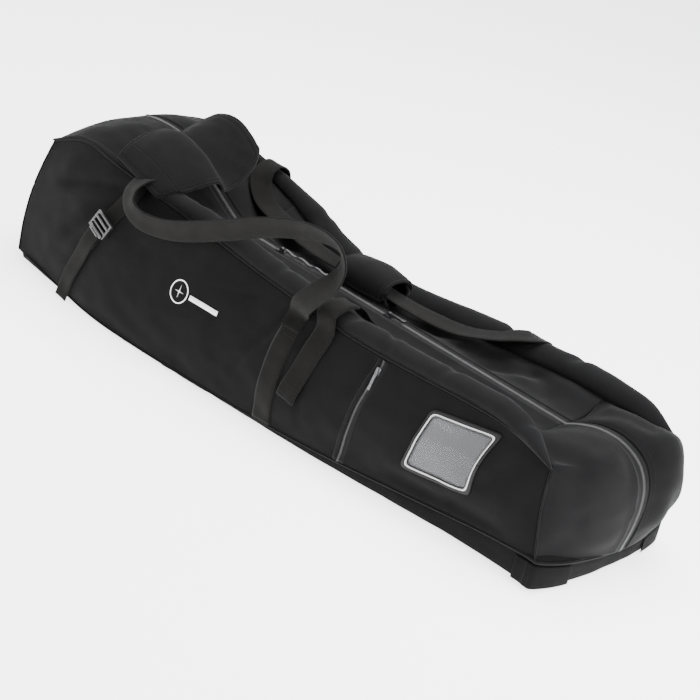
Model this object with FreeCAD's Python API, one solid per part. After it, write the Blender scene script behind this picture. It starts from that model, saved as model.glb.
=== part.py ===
import FreeCAD, Part
import math
import os

from FreeCAD import Vector

# A long padded cloth carry case that lies on its base. All sizes are in millimetres.
# +X runs towards the foot end, -Y is the front with the pocket, +Z is up, and the
# origin is the middle of the footprint, at the floor.

# Overall size
base_length = 1160.0
foot_half_width = 155.0
head_half_width = 185.0
band_height = 50.0
front_seam_head_z = 243.0
front_seam_foot_z = 193.0
back_seam_head_z = 212.0
back_seam_foot_z = 190.0
seam_head_x = -400.0
seam_foot_x = 500.0

# Walls
wall = 10.0
cloth = 2.0
overhang = 8.0
lean = 24.0
base_skin_thickness = 3.0
board_thickness = 4.0
floor_pad_thickness = 8.0
corner_radius = 22.0
seam_gap = 0.5
layer_gap = 0.1

# Top: padded edge rolls, two top panels that open, and a fixed top at the head end
roll_radius = 17.0
roll_clearance = 0.8
top_thickness = 8.0
lid_head_x = -250.0
lid_foot_x = 460.0
lid_gap = 1.5
zip_y = 15.0
zip_z = 168.0
head_top_z = 266.0
head_crest_x = -445.0
head_dip_x = -285.0
head_end_lean = 38.0
head_end_bulge = 10.0
head_edge_drop = 3.0
roll_end_gap = 2.0
foot_dome_x = 24.0
foot_dome_z = 190.0

# Main zip
chain_width = 6.6
chain_height = 2.6
tape_width = 11.0
tape_thickness = 1.2
slider_length = 16.0
slider_plate = 1.4
slider_clearance = 0.4
slider_spine = 1.6
slider_side_gap = 1.0
pin_radius = 1.0
pin_clearance = 0.3
pin_lift = 3.6
ear_thickness = 1.2
eye_wall = 1.3
pull_width = 4.4
pull_thickness = 2.4
head_slider_x = -160.0
head_pull_length = 112.0
foot_slider_x = 92.0
foot_pull_length = 34.0
stop_length = 5.0

# Front pocket
pocket_x = 226.0
pocket_bottom_z = 60.0
pocket_top_z = 176.0
pocket_slit = 8.0
pocket_depth = 14.0
pocket_side_room = 70.0
pocket_rim = 3.0
pocket_chain_width = 5.0
pocket_tape_width = 9.0
pocket_pull_length = 26.0
pocket_slider_length = 11.0

# Card window
window_x = 396.0
window_z = 122.0
window_length = 118.0
window_height = 92.0
window_border = 11.0
window_sheet = 0.8
card_thickness = 0.6
card_gap = 0.5
window_cut_radius = 150.0
window_cut_depth = 7.0

# Webbing and straps
web_width = 38.0
web_thickness = 2.0
web_gap = 0.6
handle_band_x = 58.0
handle_head_x = -322.0
handle_gap = 14.0
back_band_head_x = -330.0
back_band_foot_x = 300.0
strap_top_x = -336.0
strap_lean = 0.42
strap_top_z = 226.0
strap_width = 34.0
strap_offset = 4.0
strap_thickness = 3.2
strap_end_z = 112.0
lock_z = 150.0
lock_length = 30.0
lock_bar = 3.0
lock_wall = 2.0
lock_clearance = 0.6
tail_thickness = 1.8
tail_drop = 104.0
hanging_x = 118.0
hanging_shift = -30.0
hanging_bottom_z = 62.0
hanging_width = 36.0
hanging_gap = 3.0

# Flap over the head end of the zip
flap_centre_x = -340.0
flap_length = 168.0
flap_corner = 26.0
flap_thickness = 8.0
flap_sewn_y = -146.0
flap_sewn_z = 262.0
flap_fold_y = -62.0
flap_fold_z = 290.0
flap_far_y = 72.0
flap_far_z = 302.0
flap_fold_gap = 1.5

# Hand wrap on the back handle
wrap_x = 4.0
wrap_room_below = 7.0
handle_reach = 54.0
handle_lift = 24.0
wrap_length = 136.0
wrap_width = 60.0
wrap_height = 46.0
wrap_wall = 4.0
wrap_gap = 0.8

# Printed mark
mark_x = -164.0
mark_z = 128.0
mark_radius = 19.0
mark_line = 3.0
mark_thickness = 0.3
mark_bar_length = 64.0
mark_bar_height = 9.0

frame_step = 10.0
half_length = base_length / 2
panel_bottom_z = band_height + seam_gap


def save(node, shape):
    """Write one sub-part as a STEP file."""
    os.makedirs("parts", exist_ok=True)
    shape.exportStep("parts/" + node + ".step")


def mix(a, b, t):
    """The value a share t of the way from a to b."""
    return a + (b - a) * t


def along(x):
    """Share of the base length at x: 0 at the head end and 1 at the foot end."""
    return (x + half_length) / base_length


def half_width(x):
    """Half of the base's width at x."""
    return mix(head_half_width, foot_half_width, along(x))


def seam_z(x, side):
    """Height of a side's top seam, which is also the height of its edge roll's axis."""
    share = (x - seam_head_x) / (seam_foot_x - seam_head_x)
    if side < 0:
        return mix(front_seam_head_z, front_seam_foot_z, share)
    return mix(back_seam_head_z, back_seam_foot_z, share)


def roll_y(x, side):
    """Distance of an edge roll's axis from the middle plane, signed."""
    return side * (half_width(x) - lean - roll_radius + cloth)


def roll_point(x, side):
    """A point on an edge roll's axis."""
    return Vector(x, roll_y(x, side), seam_z(x, side))


def panel_top_z(x, side):
    """Top of a side panel, just under its edge roll."""
    return seam_z(x, side) - roll_radius - seam_gap


def side_y(x, z, side, depth=0.0):
    """Y of a side panel's outer face, moved inwards by depth."""
    share = (z - panel_bottom_z) / (panel_top_z(x, side) - panel_bottom_z)
    outer = half_width(x) + mix(overhang, -lean, share)
    return side * (outer - depth)


def polygon(points):
    """A closed wire of straight edges."""
    return Part.makePolygon(points + [points[0]])


def ruled(wires):
    """A closed solid with straight lines between matching wires."""
    return Part.makeLoft(wires, True, True)


def triangle_pair(a, b, c, d):
    """Two flat faces that close the gap between edges ab and cd."""
    return [Part.Face(polygon([a, b, c])), Part.Face(polygon([a, c, d]))]


def chain_of_quads(quads):
    """A closed solid with flat faces through a row of four-cornered sections."""
    faces = triangle_pair(*quads[0]) + triangle_pair(*quads[-1])
    for before, after in zip(quads, quads[1:]):
        for i in range(4):
            j = (i + 1) % 4
            faces += triangle_pair(before[i], before[j], after[j], after[i])
    shell = Part.Shell(faces)
    shell.fix(0.001, 0.001, 0.001)
    solid = Part.Solid(shell)
    if solid.Volume < 0:
        solid.reverse()
    return solid


def box(low, high):
    """A box between two corners."""
    size = [high[i] - low[i] for i in range(3)]
    return Part.makeBox(size[0], size[1], size[2], Vector(*low))


def prism_z(points, z_low, z_high):
    """An upright prism on a plan outline."""
    face = Part.Face(polygon([Vector(x, y, z_low) for x, y in points]))
    return face.extrude(Vector(0, 0, z_high - z_low))


def side_quad(x, side, z_low, z_high, depth_out, depth_in):
    """Section of a layer of a side panel at x."""
    corners = [(z_low, depth_out), (z_high, depth_out), (z_high, depth_in), (z_low, depth_in)]
    return polygon([Vector(x, side_y(x, z, side, depth), z) for z, depth in corners])


def side_patch(x_range, z_range, side, depth_out, depth_in):
    """A flat piece that lies along a side panel. Negative depths are outside it."""
    return ruled([side_quad(x, side, z_range[0], z_range[1], depth_out, depth_in) for x in x_range])


def side_layer(x_range, side, depth_out, depth_in):
    """A full-height layer of a side panel."""
    wires = []
    for x in x_range:
        wires.append(side_quad(x, side, panel_bottom_z, panel_top_z(x, side), depth_out, depth_in))
    return ruled(wires)


def ribbon(stations, width, thickness):
    """A flat band through stations, each a centre point and the direction of its width."""
    centres = [Vector(*centre) for centre, across in stations]
    quads = []
    for i, (centre, across) in enumerate(stations):
        ahead = centres[min(i + 1, len(centres) - 1)] - centres[max(i - 1, 0)]
        side = Vector(*across)
        normal = ahead.cross(side).normalize()
        side = normal.cross(ahead).normalize() * (width / 2)
        normal = normal * (thickness / 2)
        middle = centres[i]
        corners = [middle - side - normal, middle + side - normal]
        corners += [middle + side + normal, middle - side + normal]
        quads.append(corners)
    return chain_of_quads(quads)


def curve(points):
    """A smooth curve through points in a plane of constant or leaning Y."""
    spline = Part.BSplineCurve()
    spline.interpolate([Vector(*point) for point in points])
    return spline


def join(shapes):
    """Group separate solids in one node."""
    return Part.Compound(shapes)


# ---------------------------------------------------------------- base


def base_outline(inset):
    """Plan corners of the base, moved inwards."""
    head = head_half_width - inset
    foot = foot_half_width - inset
    end = half_length - inset
    return [(-end, -head), (end, -foot), (end, foot), (-end, head)]


def rounded_plate(inset, z_low, z_high, radius):
    """A flat plate of the base's shape with rounded corners."""
    plate = prism_z(base_outline(inset), z_low, z_high)
    upright = [edge for edge in plate.Edges if abs(edge.tangentAt(edge.FirstParameter).z) > 0.99]
    return plate.makeFillet(radius, upright)


def make_base():
    """Bottom skin, stiff board and floor pad, inside the four walls of the band."""
    inside = wall + seam_gap
    board_z = base_skin_thickness + seam_gap
    pad_z = board_z + board_thickness + seam_gap
    save("base_skin", rounded_plate(inside, 0, base_skin_thickness, corner_radius))
    save("base_board", rounded_plate(inside, board_z, board_z + board_thickness, corner_radius))
    pad = rounded_plate(inside, pad_z, pad_z + floor_pad_thickness, corner_radius)
    save("floor_pad", pad)


def make_base_band():
    """The reinforced band round the bottom, as four walls that meet at the corners."""
    outer = base_outline(0)
    inner = base_outline(wall)
    names = ["base_band_front", "base_band_foot", "base_band_back", "base_band_head"]
    trim = seam_gap / 2
    for i, name in enumerate(names):
        j = (i + 1) % 4
        corners = [outer[i], outer[j], inner[j], inner[i]]
        wall_solid = prism_z(corners, 0, band_height)
        if i % 2:
            cut = mitre_cut(outer[i], inner[i], trim).fuse(mitre_cut(outer[j], inner[j], trim))
            wall_solid = wall_solid.cut(cut)
        save(name, wall_solid)


def mitre_cut(outer, inner, trim):
    """A thin slot along a corner's mitre, so that the two walls do not share a face."""
    direction = Vector(outer[0] - inner[0], outer[1] - inner[1], 0).normalize() * wall * 2
    across = Vector(-direction.y, direction.x, 0).normalize() * trim
    middle = Vector(outer[0] + inner[0], outer[1] + inner[1], 0) * 0.5
    corners = [middle - direction - across, middle + direction - across]
    corners += [middle + direction + across, middle - direction + across]
    return Part.Face(polygon(corners)).extrude(Vector(0, 0, band_height))


# ---------------------------------------------------------------- side panels


def side_range():
    """X range of the side panels, between the end panels' outer faces."""
    return (-half_length + seam_gap, half_length - seam_gap)


def make_side_panels():
    """Each side is an outer cloth, a foam core and a lining. The front one parts at the pocket's slit."""
    head, foot = side_range()
    slit = (pocket_x - pocket_slit / 2, pocket_x + pocket_slit / 2)
    layers = [("panel", 0, cloth), ("foam", cloth + layer_gap, wall - cloth - layer_gap)]
    layers.append(("lining", wall - cloth, wall))
    for layer, depth_out, depth_in in layers:
        parts = [side_layer((head, slit[0]), -1, depth_out, depth_in)]
        parts.append(side_layer((slit[1], foot), -1, depth_out, depth_in))
        save("front_side_" + layer, join(parts))
        save("back_side_" + layer, side_layer((head, foot), 1, depth_out, depth_in))


# ---------------------------------------------------------------- end panels


def head_wire(side, z_top):
    """Section of the head end panel, at the front side (-1), the middle (0) or the back (1)."""
    points = []
    heights = (panel_bottom_z, mix(panel_bottom_z, z_top, 0.45), z_top)
    offsets = (0, -head_end_bulge, head_end_lean)
    for depth in (0, wall):
        for z, offset in zip(heights, offsets):
            x = -half_length + offset + depth
            y = side_y(lid_head_x, z, side, wall) if side else 0
            y += side * (half_width(-half_length) - half_width(lid_head_x) - 2 * seam_gap)
            points.append(Vector(x, y, z))
    outer = Part.Arc(points[0], points[1], points[2]).toShape()
    inner = Part.Arc(points[5], points[4], points[3]).toShape()
    top = Part.makeLine(points[2], points[5])
    bottom = Part.makeLine(points[3], points[0])
    return Part.Wire([outer, top, inner, bottom])


def head_seam_z(side):
    """Height of the head end panel's top corner on one side."""
    return seam_z(-half_length + head_end_lean, side) - roll_radius


def make_head_end():
    """The head end panel, higher in the middle."""
    front = head_wire(-1, head_seam_z(-1))
    middle = head_wire(0, head_top_z - head_edge_drop - top_thickness - seam_gap)
    back = head_wire(1, head_seam_z(1))
    save("head_end_panel", ruled([front, middle, back]))


def foot_profile(grow, y_of_z):
    """Outer curve of the foot end, from the band up over the dome to the top panels."""
    end = half_length
    points = [
        (end - 1, panel_bottom_z),
        (end + grow * 0.95, mix(panel_bottom_z, foot_dome_z, 0.42)),
        (end - 12 + grow * 0.3, foot_dome_z - 22),
        (end - 52, foot_dome_z - 3),
        (end - 88, foot_dome_z - 8),
        (lid_foot_x + lid_gap, zip_z + tape_thickness + 1),
    ]
    return [(x, y_of_z(z), z) for x, z in points]


def foot_wire(grow, y_of_z):
    """Section of a foot end half, from its outer curve in to the lining."""
    outer_points = foot_profile(grow, y_of_z)
    inner_points = []
    for i, (x, y, z) in enumerate(outer_points):
        before = outer_points[max(i - 1, 0)]
        after = outer_points[min(i + 1, len(outer_points) - 1)]
        run = Vector(after[0] - before[0], 0, after[2] - before[2]).normalize()
        z_in = z - run.x * -wall if i else z
        inner_points.append((x - run.z * wall, y_of_z(z_in), z_in))
    outer = curve(outer_points).toShape()
    inner = curve(inner_points).toShape()
    start = Part.makeLine(Vector(*outer_points[0]), Vector(*inner_points[0]))
    end = Part.makeLine(Vector(*outer_points[-1]), Vector(*inner_points[-1]))
    return Part.Wire(Part.__sortEdges__([outer, end, inner, start]))


def foot_side_y(side):
    """Y of the foot end's outer edge at each height, clear of the side panel."""
    x = half_length

    def y_of_z(z):
        return side * (abs(side_y(x, max(z, panel_bottom_z), side, wall)) - seam_gap)

    return y_of_z


def zip_side_y(side):
    """Y of a panel's edge beside the main zip's tape."""
    edge = zip_y + side * (chain_width / 2 + tape_width + seam_gap)
    return lambda z: edge


def make_foot_end():
    """The foot end, in two halves with the zip between them."""
    for side, word in ((-1, "front"), (1, "back")):
        near_zip = foot_wire(foot_dome_x, zip_side_y(side))
        at_corner = foot_wire(foot_dome_x * 0.3, foot_side_y(side))
        save("foot_end_panel_" + word, ruled([near_zip, at_corner]))


# ---------------------------------------------------------------- top


def make_rolls():
    """Foam-filled rolls along both top edges."""
    for side, word in ((-1, "front"), (1, "back")):
        start = roll_point(-half_length + head_end_lean + wall + roll_end_gap, side)
        end = roll_point(lid_foot_x, side)
        axis = end - start
        save(word + "_edge_roll", Part.makeCylinder(roll_radius, axis.Length, start, axis))


def lid_wire(x, side):
    """Section of an opening top panel at x, from its roll to the zip tape."""
    hinge = roll_point(x, side)
    edge = Vector(x, zip_y + side * (chain_width / 2 + tape_width + seam_gap), zip_z)
    if side > 0:
        edge.y += slider_gap()
    run = (edge - hinge).normalize()
    normal = Vector(0, -run.z, run.y)
    if normal.z < 0:
        normal = normal * -1
    start = hinge + run * (roll_radius + roll_clearance)
    half = normal * (top_thickness / 2)
    return polygon([start - half, edge - half, edge + half, start + half])


def slider_gap():
    """Room between the chain and the back tape for the slider's spine."""
    return slider_clearance + slider_spine + slider_side_gap


def make_lids():
    """Front and back top panels that open about their rolls, with their zip tapes."""
    half_chain = chain_width / 2
    for side, word in ((-1, "front"), (1, "back")):
        save(word + "_top_panel", ruled([lid_wire(lid_head_x, side), lid_wire(lid_foot_x, side)]))
        shift = slider_gap() if side > 0 else 0.1
        inner = zip_y + side * (half_chain + shift)
        outer = inner + side * (tape_width - 0.1)
        low = (lid_head_x, min(inner, outer), zip_z - tape_thickness / 2)
        high = (lid_foot_x, max(inner, outer), zip_z + tape_thickness / 2)
        save(word + "_zip_tape", box(low, high))
    low = (lid_head_x, zip_y - half_chain, zip_z - chain_height / 2)
    high = (lid_foot_x, zip_y + half_chain, zip_z + chain_height / 2)
    save("main_zip_chain", box(low, high))


def head_top_points(at_zip, y):
    """Top surface of the fixed head top, as points from the head end to the lids."""
    end_x = -half_length + head_end_lean + 2
    last_x = lid_head_x - lid_gap
    if at_zip:
        spine = [(end_x, head_top_z - head_edge_drop), (head_crest_x, head_top_z), (head_dip_x, zip_z + 14)]
        spine.append((last_x, zip_z + top_thickness / 2))
        return [Vector(x, y, z) for x, z in spine]
    side = -1 if y < 0 else 1
    points = []
    for x in (end_x, head_crest_x, head_dip_x, last_x):
        roll_edge = roll_y(x, side) - side * (roll_radius + roll_clearance)
        points.append(Vector(x, roll_edge, seam_z(x, side) + top_thickness / 2))
    return points


def head_top_wire(at_zip, y):
    """Section of the head top, from its top surface down to the lining."""
    top = head_top_points(at_zip, y)
    down = Vector(0, 0, -top_thickness)
    return polygon(top + [point + down for point in reversed(top)])


def make_head_top():
    """The fixed top at the head end, in two halves beside the zip."""
    for side, word in ((-1, "front"), (1, "back")):
        near_zip = head_top_wire(True, zip_side_y(side)(0))
        near_roll = head_top_wire(False, side)
        save("head_top_panel_" + word, ruled([near_zip, near_roll]))


# ---------------------------------------------------------------- zips


def bend_stations(points, y):
    """Stations of a band that runs along X and Z at one Y, with its width across."""
    return [((x, y, z), (0, 1, 0)) for x, z in points]


def fixed_zip(name, points):
    """Chain and two tapes of a length of zip that does not open."""
    half_chain = chain_width / 2
    save(name + "_zip_chain", ribbon(bend_stations(points, zip_y), chain_width, chain_height))
    tapes = []
    for side in (-1, 1):
        centre = zip_y + side * (half_chain + tape_width / 2)
        tapes.append(ribbon(bend_stations(points, centre), tape_width - 0.4, tape_thickness))
    save(name + "_zip_tapes", join(tapes))


def make_fixed_zips():
    """The zip goes on down the foot end and up over the head end."""
    profile = curve(foot_profile(foot_dome_x, lambda z: zip_y))
    spots = profile.discretize(Number=13)
    foot = [(spot.x, spot.z) for spot in spots]
    foot[0] = (foot[0][0], panel_bottom_z + stop_length + 2)
    fixed_zip("foot", foot)
    top = head_top_points(True, 0)
    head = [(p.x, p.z - 2) for p in top[:-1]]
    head.append((lid_head_x - lid_gap, zip_z))
    fixed_zip("head", head)
    save("zip_stops", join([end_stop(foot[0][0], panel_bottom_z + 0.5, chain_height * 2, stop_length),
                            end_stop(head[0][0] + stop_length, head[0][1] + 2, stop_length, chain_height)]))


def end_stop(x, z, length, height):
    """A small block at an end of the zip."""
    half_chain = chain_width / 2
    return box((x - length / 2, zip_y - half_chain, z), (x + length / 2, zip_y + half_chain, z + height))


def slider_body(length, half_chain, height):
    """A slider round a chain that runs along X, with a spine on the +Y side."""
    inner = height / 2 + slider_clearance
    outer = inner + slider_plate
    spine_y = half_chain + slider_clearance
    reach = spine_y + slider_spine
    body = box((-length / 2, -reach, -outer), (length / 2, reach, outer))
    channel = box((-length, -reach - 1, -inner), (length, spine_y, inner))
    body = body.cut(channel)
    ears = []
    ear_y = pull_width / 2 + pin_clearance
    for low_y in (-ear_y - ear_thickness, ear_y):
        ears.append(box((-2.4, low_y, outer - 0.2), (2.4, low_y + ear_thickness, outer + pin_lift + 1.6)))
    pin_z = outer + pin_lift
    pin = Part.makeCylinder(pin_radius, 2 * (ear_y + ear_thickness), Vector(0, -ear_y - ear_thickness, pin_z),
                            Vector(0, 1, 0))
    return body.fuse(ears + [pin])


def slider_pin_z(height):
    """Height of a slider's pull pin above the chain's middle."""
    return height / 2 + slider_clearance + slider_plate + pin_lift


def pull_tab(length, height, waves, end_width):
    """A pull that lies towards +X from its eye, as one strip bent in waves."""
    pin_z = slider_pin_z(height)
    eye_radius = pin_radius + pin_clearance + eye_wall
    across = Vector(0, 1, 0)
    eye = Part.makeCylinder(eye_radius, pull_width, Vector(0, -pull_width / 2, pin_z), across)
    start = eye_radius - 0.4
    steps = 4 * waves + 2
    wave_height = 1.6 if waves else 0.0
    stations = []
    for i in range(steps + 1):
        t = i / steps
        x = mix(start, length, t)
        lift = wave_height * math.sin(2 * math.pi * waves * t)
        stations.append(((x, 0, pin_z + lift), (0, 1, 0)))
    strip = ribbon(stations, pull_width, pull_thickness)
    tip = box((length - end_width, -end_width / 2, pin_z - pull_thickness / 2),
              (length, end_width / 2, pin_z + pull_thickness / 2))
    body = eye.fuse([strip, tip]).removeSplitter()
    bore = Part.makeCylinder(pin_radius + pin_clearance, pull_width + 2,
                             Vector(0, -pull_width / 2 - 1, pin_z), across)
    return body.cut(bore)


def make_main_sliders():
    """Two sliders on the main chain, each with its pull."""
    makes = (
        ("head", head_slider_x, head_pull_length, 3, 8.0),
        ("foot", foot_slider_x, foot_pull_length, 0, 7.0),
    )
    for word, x, length, waves, end_width in makes:
        place = Vector(x, zip_y, zip_z)
        body = slider_body(slider_length, chain_width / 2, chain_height)
        body.translate(place)
        save(word + "_slider", body)
        pull = pull_tab(length, chain_height, waves, end_width)
        pull.translate(place)
        save(word + "_pull", pull)


# ---------------------------------------------------------------- front pocket


def front_face_frame(x, z, offset):
    """Placement on the front panel: local X runs down it, local Z out of it."""
    low = Vector(x, side_y(x, z - frame_step, -1), z - frame_step)
    high = Vector(x, side_y(x, z + frame_step, -1), z + frame_step)
    down = (low - high).normalize()
    out = Vector(1, 0, 0).cross(down).normalize()
    if out.y > 0:
        out = out * -1
    across = out.cross(down)
    point = Vector(x, side_y(x, z, -1), z) + out * offset
    matrix = FreeCAD.Matrix(down.x, across.x, out.x, point.x,
                            down.y, across.y, out.y, point.y,
                            down.z, across.z, out.z, point.z,
                            0, 0, 0, 1)
    return FreeCAD.Placement(matrix)


def make_pocket():
    """A flat pouch behind the front panel, with a zip over its slit."""
    x_range = (pocket_x - pocket_side_room, pocket_x + pocket_side_room)
    z_range = (pocket_bottom_z - 6, pocket_top_z + 5)
    front = wall + seam_gap
    back = front + pocket_depth
    block = side_patch(x_range, z_range, -1, front, back + cloth)
    inner_x = (x_range[0] + pocket_rim, x_range[1] - pocket_rim)
    inner_z = (z_range[0] + pocket_rim, z_range[1] - pocket_rim)
    hollow = side_patch(inner_x, inner_z, -1, front - 1, back)
    save("pocket_pouch", block.cut(hollow))
    reach = pocket_chain_width / 2
    gap = pocket_zip_lift()
    z_zip = (panel_bottom_z + seam_gap, panel_top_z(pocket_x, -1) - seam_gap)
    chain_x = (pocket_x - reach, pocket_x + reach)
    save("pocket_zip_chain", side_patch(chain_x, z_zip, -1, -gap - chain_height, -gap))
    tapes = []
    for side in (-1, 1):
        room = slider_gap() if side > 0 else 0.1
        inner = pocket_x + side * (reach + room)
        outer = inner + side * pocket_tape_width
        tape_x = (min(inner, outer), max(inner, outer))
        middle = gap + chain_height / 2
        half_tape = tape_thickness / 2
        tapes.append(side_patch(tape_x, z_zip, -1, -middle - half_tape, -middle + half_tape))
    save("pocket_zip_tapes", join(tapes))


def pocket_zip_lift():
    """Height of the pocket chain's back above the panel, with room for the slider's plate."""
    return seam_gap + slider_plate + slider_clearance + 0.4


def make_pocket_slider():
    """The pocket's slider and pull, near the top of the slit."""
    offset = pocket_zip_lift() + chain_height / 2
    z = pocket_top_z - pocket_slider_length
    frame = front_face_frame(pocket_x, z, offset)
    body = slider_body(pocket_slider_length, pocket_chain_width / 2, chain_height)
    body.Placement = frame
    save("pocket_slider", body)
    pull = pull_tab(pocket_pull_length, chain_height, 0, 6.0)
    pull.Placement = frame
    save("pocket_pull", pull)


# ---------------------------------------------------------------- card window and mark


def window_ranges(border):
    """X and Z ranges of the window, moved in by a border."""
    x_range = (window_x - window_length / 2 + border, window_x + window_length / 2 - border)
    z_range = (window_z - window_height / 2 + border, window_z + window_height / 2 - border)
    return x_range, z_range


def make_window():
    """A welded frame with a clear sheet, open at the foot side, and a card behind it."""
    back = seam_gap + card_thickness + 2 * card_gap
    front = back + window_sheet
    x_all, z_all = window_ranges(0)
    x_in, z_in = window_ranges(window_border)
    plate = side_patch(x_all, z_all, -1, -front - cloth, -seam_gap)
    card_x = (x_in[0] - window_border / 2, x_all[1] + 1)
    card_z = (z_in[0] - window_border / 2, z_in[1] + window_border / 2)
    room = side_patch(card_x, card_z, -1, -front, -seam_gap + 0.1)
    view_x = (x_in[0], x_all[1] + 1)
    view = side_patch(view_x, z_in, -1, -front - 2 * cloth, -seam_gap)
    centre_x = x_all[1] + window_cut_radius - window_cut_depth
    centre = Vector(centre_x, -2 * half_width(centre_x), window_z)
    bite = Part.makeCylinder(window_cut_radius, 2 * half_width(centre_x), centre, Vector(0, 1, 0))
    save("id_window_frame", plate.cut(room.fuse(view)).cut(bite))
    sheet_x = (x_in[0] + 0.3, x_all[1] - window_border)
    sheet_z = (z_in[0] + 0.3, z_in[1] - 0.3)
    sheet = side_patch(sheet_x, sheet_z, -1, -front, -back - 0.1)
    save("id_window_sheet", sheet)
    card_out = seam_gap + card_gap + card_thickness
    card_x = (card_x[0] + 1, x_all[1] - 4)
    card_z = (card_z[0] + 1, card_z[1] - 1)
    save("id_card", side_patch(card_x, card_z, -1, -card_out, -seam_gap - card_gap))


def make_mark():
    """A plain printed ring and bar."""
    frame = front_face_frame(mark_x, mark_z, 2 * seam_gap)
    disc = Part.makeCylinder(mark_radius, mark_thickness)
    ring = disc.cut(Part.makeCylinder(mark_radius - mark_line, mark_thickness))
    bar_y = mark_radius + mark_line
    low = (-mark_bar_height / 2, bar_y, 0)
    bar = box(low, (mark_bar_height / 2, bar_y + mark_bar_length, mark_thickness))
    mark = join([ring, bar])
    mark.Placement = frame
    save("printed_mark", mark)


def make_corner_patches():
    """Sewn patches over the foot end's lower corners."""
    patches = []
    for side in (-1, 1):
        far = side * (foot_half_width - 4)
        near = side * (foot_half_width - 62)
        low = (half_length + seam_gap, min(far, near), 3)
        high = (half_length + seam_gap + cloth, max(far, near), band_height - 4)
        patches.append(box(low, high))
    save("foot_corner_patches", join(patches))


# ---------------------------------------------------------------- webbing


def make_handle_bands():
    """Flat bands sewn down the sides under each handle's ends."""
    bands = {"front_handle_band": (-1, (handle_band_x,))}
    bands["back_handle_bands"] = (1, (back_band_head_x, back_band_foot_x))
    for name, (side, places) in bands.items():
        solids = []
        for x in places:
            x_range = (x - web_width / 2, x + web_width / 2)
            z_range = (panel_bottom_z + 2, panel_top_z(x, side) - 2)
            solids.append(side_patch(x_range, z_range, side, -web_gap - web_thickness, -web_gap))
        save(name, join(solids))


def strap_point(z, offset):
    """A point on the head strap's line, outside the front panel."""
    x = strap_top_x - (strap_top_z - z) * strap_lean
    return Vector(x, side_y(x, z, -1) - offset, z)


def strap_axes(z):
    """Directions up the strap and out of the panel under it."""
    here = strap_point(z, 0)
    up = (strap_point(z + frame_step, 0) - here).normalize()
    beside_x = here.x + frame_step
    beside = Vector(beside_x, side_y(beside_x, z, -1), z) - here
    return up, beside.cross(up).normalize()


def strap_stations(z_high, z_low, offset):
    """Stations of a straight strap down the front panel."""
    high = strap_point(z_high, offset)
    low = strap_point(z_low, offset)
    up, out = strap_axes(z_low)
    across = tuple(up.cross(out))
    return [(tuple(high), across), (tuple(low), across)]


def lock_frame():
    """Placement of the ladder lock: local Z runs up the strap, local Y out of it."""
    up, out = strap_axes(lock_z)
    right = out.cross(up)
    point = strap_point(lock_z, strap_offset + strap_thickness / 2)
    matrix = FreeCAD.Matrix(right.x, out.x, up.x, point.x,
                            right.y, out.y, up.y, point.y,
                            right.z, out.z, up.z, point.z,
                            0, 0, 0, 1)
    return FreeCAD.Placement(matrix)


def make_ladder_lock():
    """A ring with three cross bars on the outside, round the head strap."""
    half_wide = strap_width / 2 + lock_clearance
    half_deep = strap_thickness / 2 + lock_clearance
    outer_wide = half_wide + lock_wall + 2
    outer_deep = half_deep + lock_wall
    half_long = lock_length / 2
    ring = box((-outer_wide, -outer_deep, -half_long), (outer_wide, outer_deep, half_long))
    ring = ring.cut(box((-half_wide, -half_deep, -half_long - 1), (half_wide, half_deep, half_long + 1)))
    slot = (lock_length - 3 * lock_bar) / 2
    for i in range(2):
        low_z = -half_long + lock_bar + i * (slot + lock_bar)
        window = box((-half_wide, 0, low_z), (half_wide, outer_deep + 1, low_z + slot))
        ring = ring.cut(window)
    ring.Placement = lock_frame()
    save("ladder_lock", ring)


def make_head_strap():
    """The strap at the head end: two layers above, and a tail that hangs below."""
    layer = strap_thickness / 2
    layers = []
    for i in range(2):
        offset = strap_offset + layer * (i + 0.5)
        layers.append(ribbon(strap_stations(strap_top_z, strap_end_z, offset), strap_width, layer - 0.1))
    save("head_strap", join(layers))
    middle = strap_offset + strap_thickness / 2
    tail = strap_stations(strap_end_z - 1.5, strap_end_z - tail_drop, middle)
    save("strap_tail", ribbon(tail, strap_width, tail_thickness))


def make_hanging_strap():
    """A loose strap end that hangs over the front roll, and its root on the top panel."""
    axis = roll_point(hanging_x, -1)
    radius = roll_radius + hanging_gap
    stations = []
    for angle in (155, 172, 190):
        turn = math.radians(angle)
        y = axis.y + radius * math.cos(turn)
        stations.append(((hanging_x, y, axis.z + radius * math.sin(turn)), (1, 0, 0)))
    foot_x = hanging_x + hanging_shift
    for share in (0.3, 0.65, 1.0):
        z = mix(axis.z - 20, hanging_bottom_z, share)
        x = mix(hanging_x, foot_x, share)
        y = side_y(x, z, -1) - web_gap - web_thickness - hanging_gap
        stations.append(((x, y, z), (1, 0, 0.1)))
    save("hanging_strap", ribbon(stations, hanging_width, web_thickness))
    root = []
    for reach in (roll_radius + 4, roll_radius + 30, roll_radius + 54):
        edge = Vector(0, zip_y - axis.y, zip_z - axis.z).normalize()
        up = Vector(0, -edge.z, edge.y)
        lift = top_thickness / 2 + web_gap + web_thickness / 2
        point = axis + edge * reach + up * lift
        root.append((tuple(point), (1, 0, 0)))
    save("strap_root", ribbon(root, hanging_width, web_thickness))


def front_handle_y(x):
    """Y of the front handle at x, just outside the front roll."""
    return roll_y(x, -1) - roll_radius - handle_gap


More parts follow.
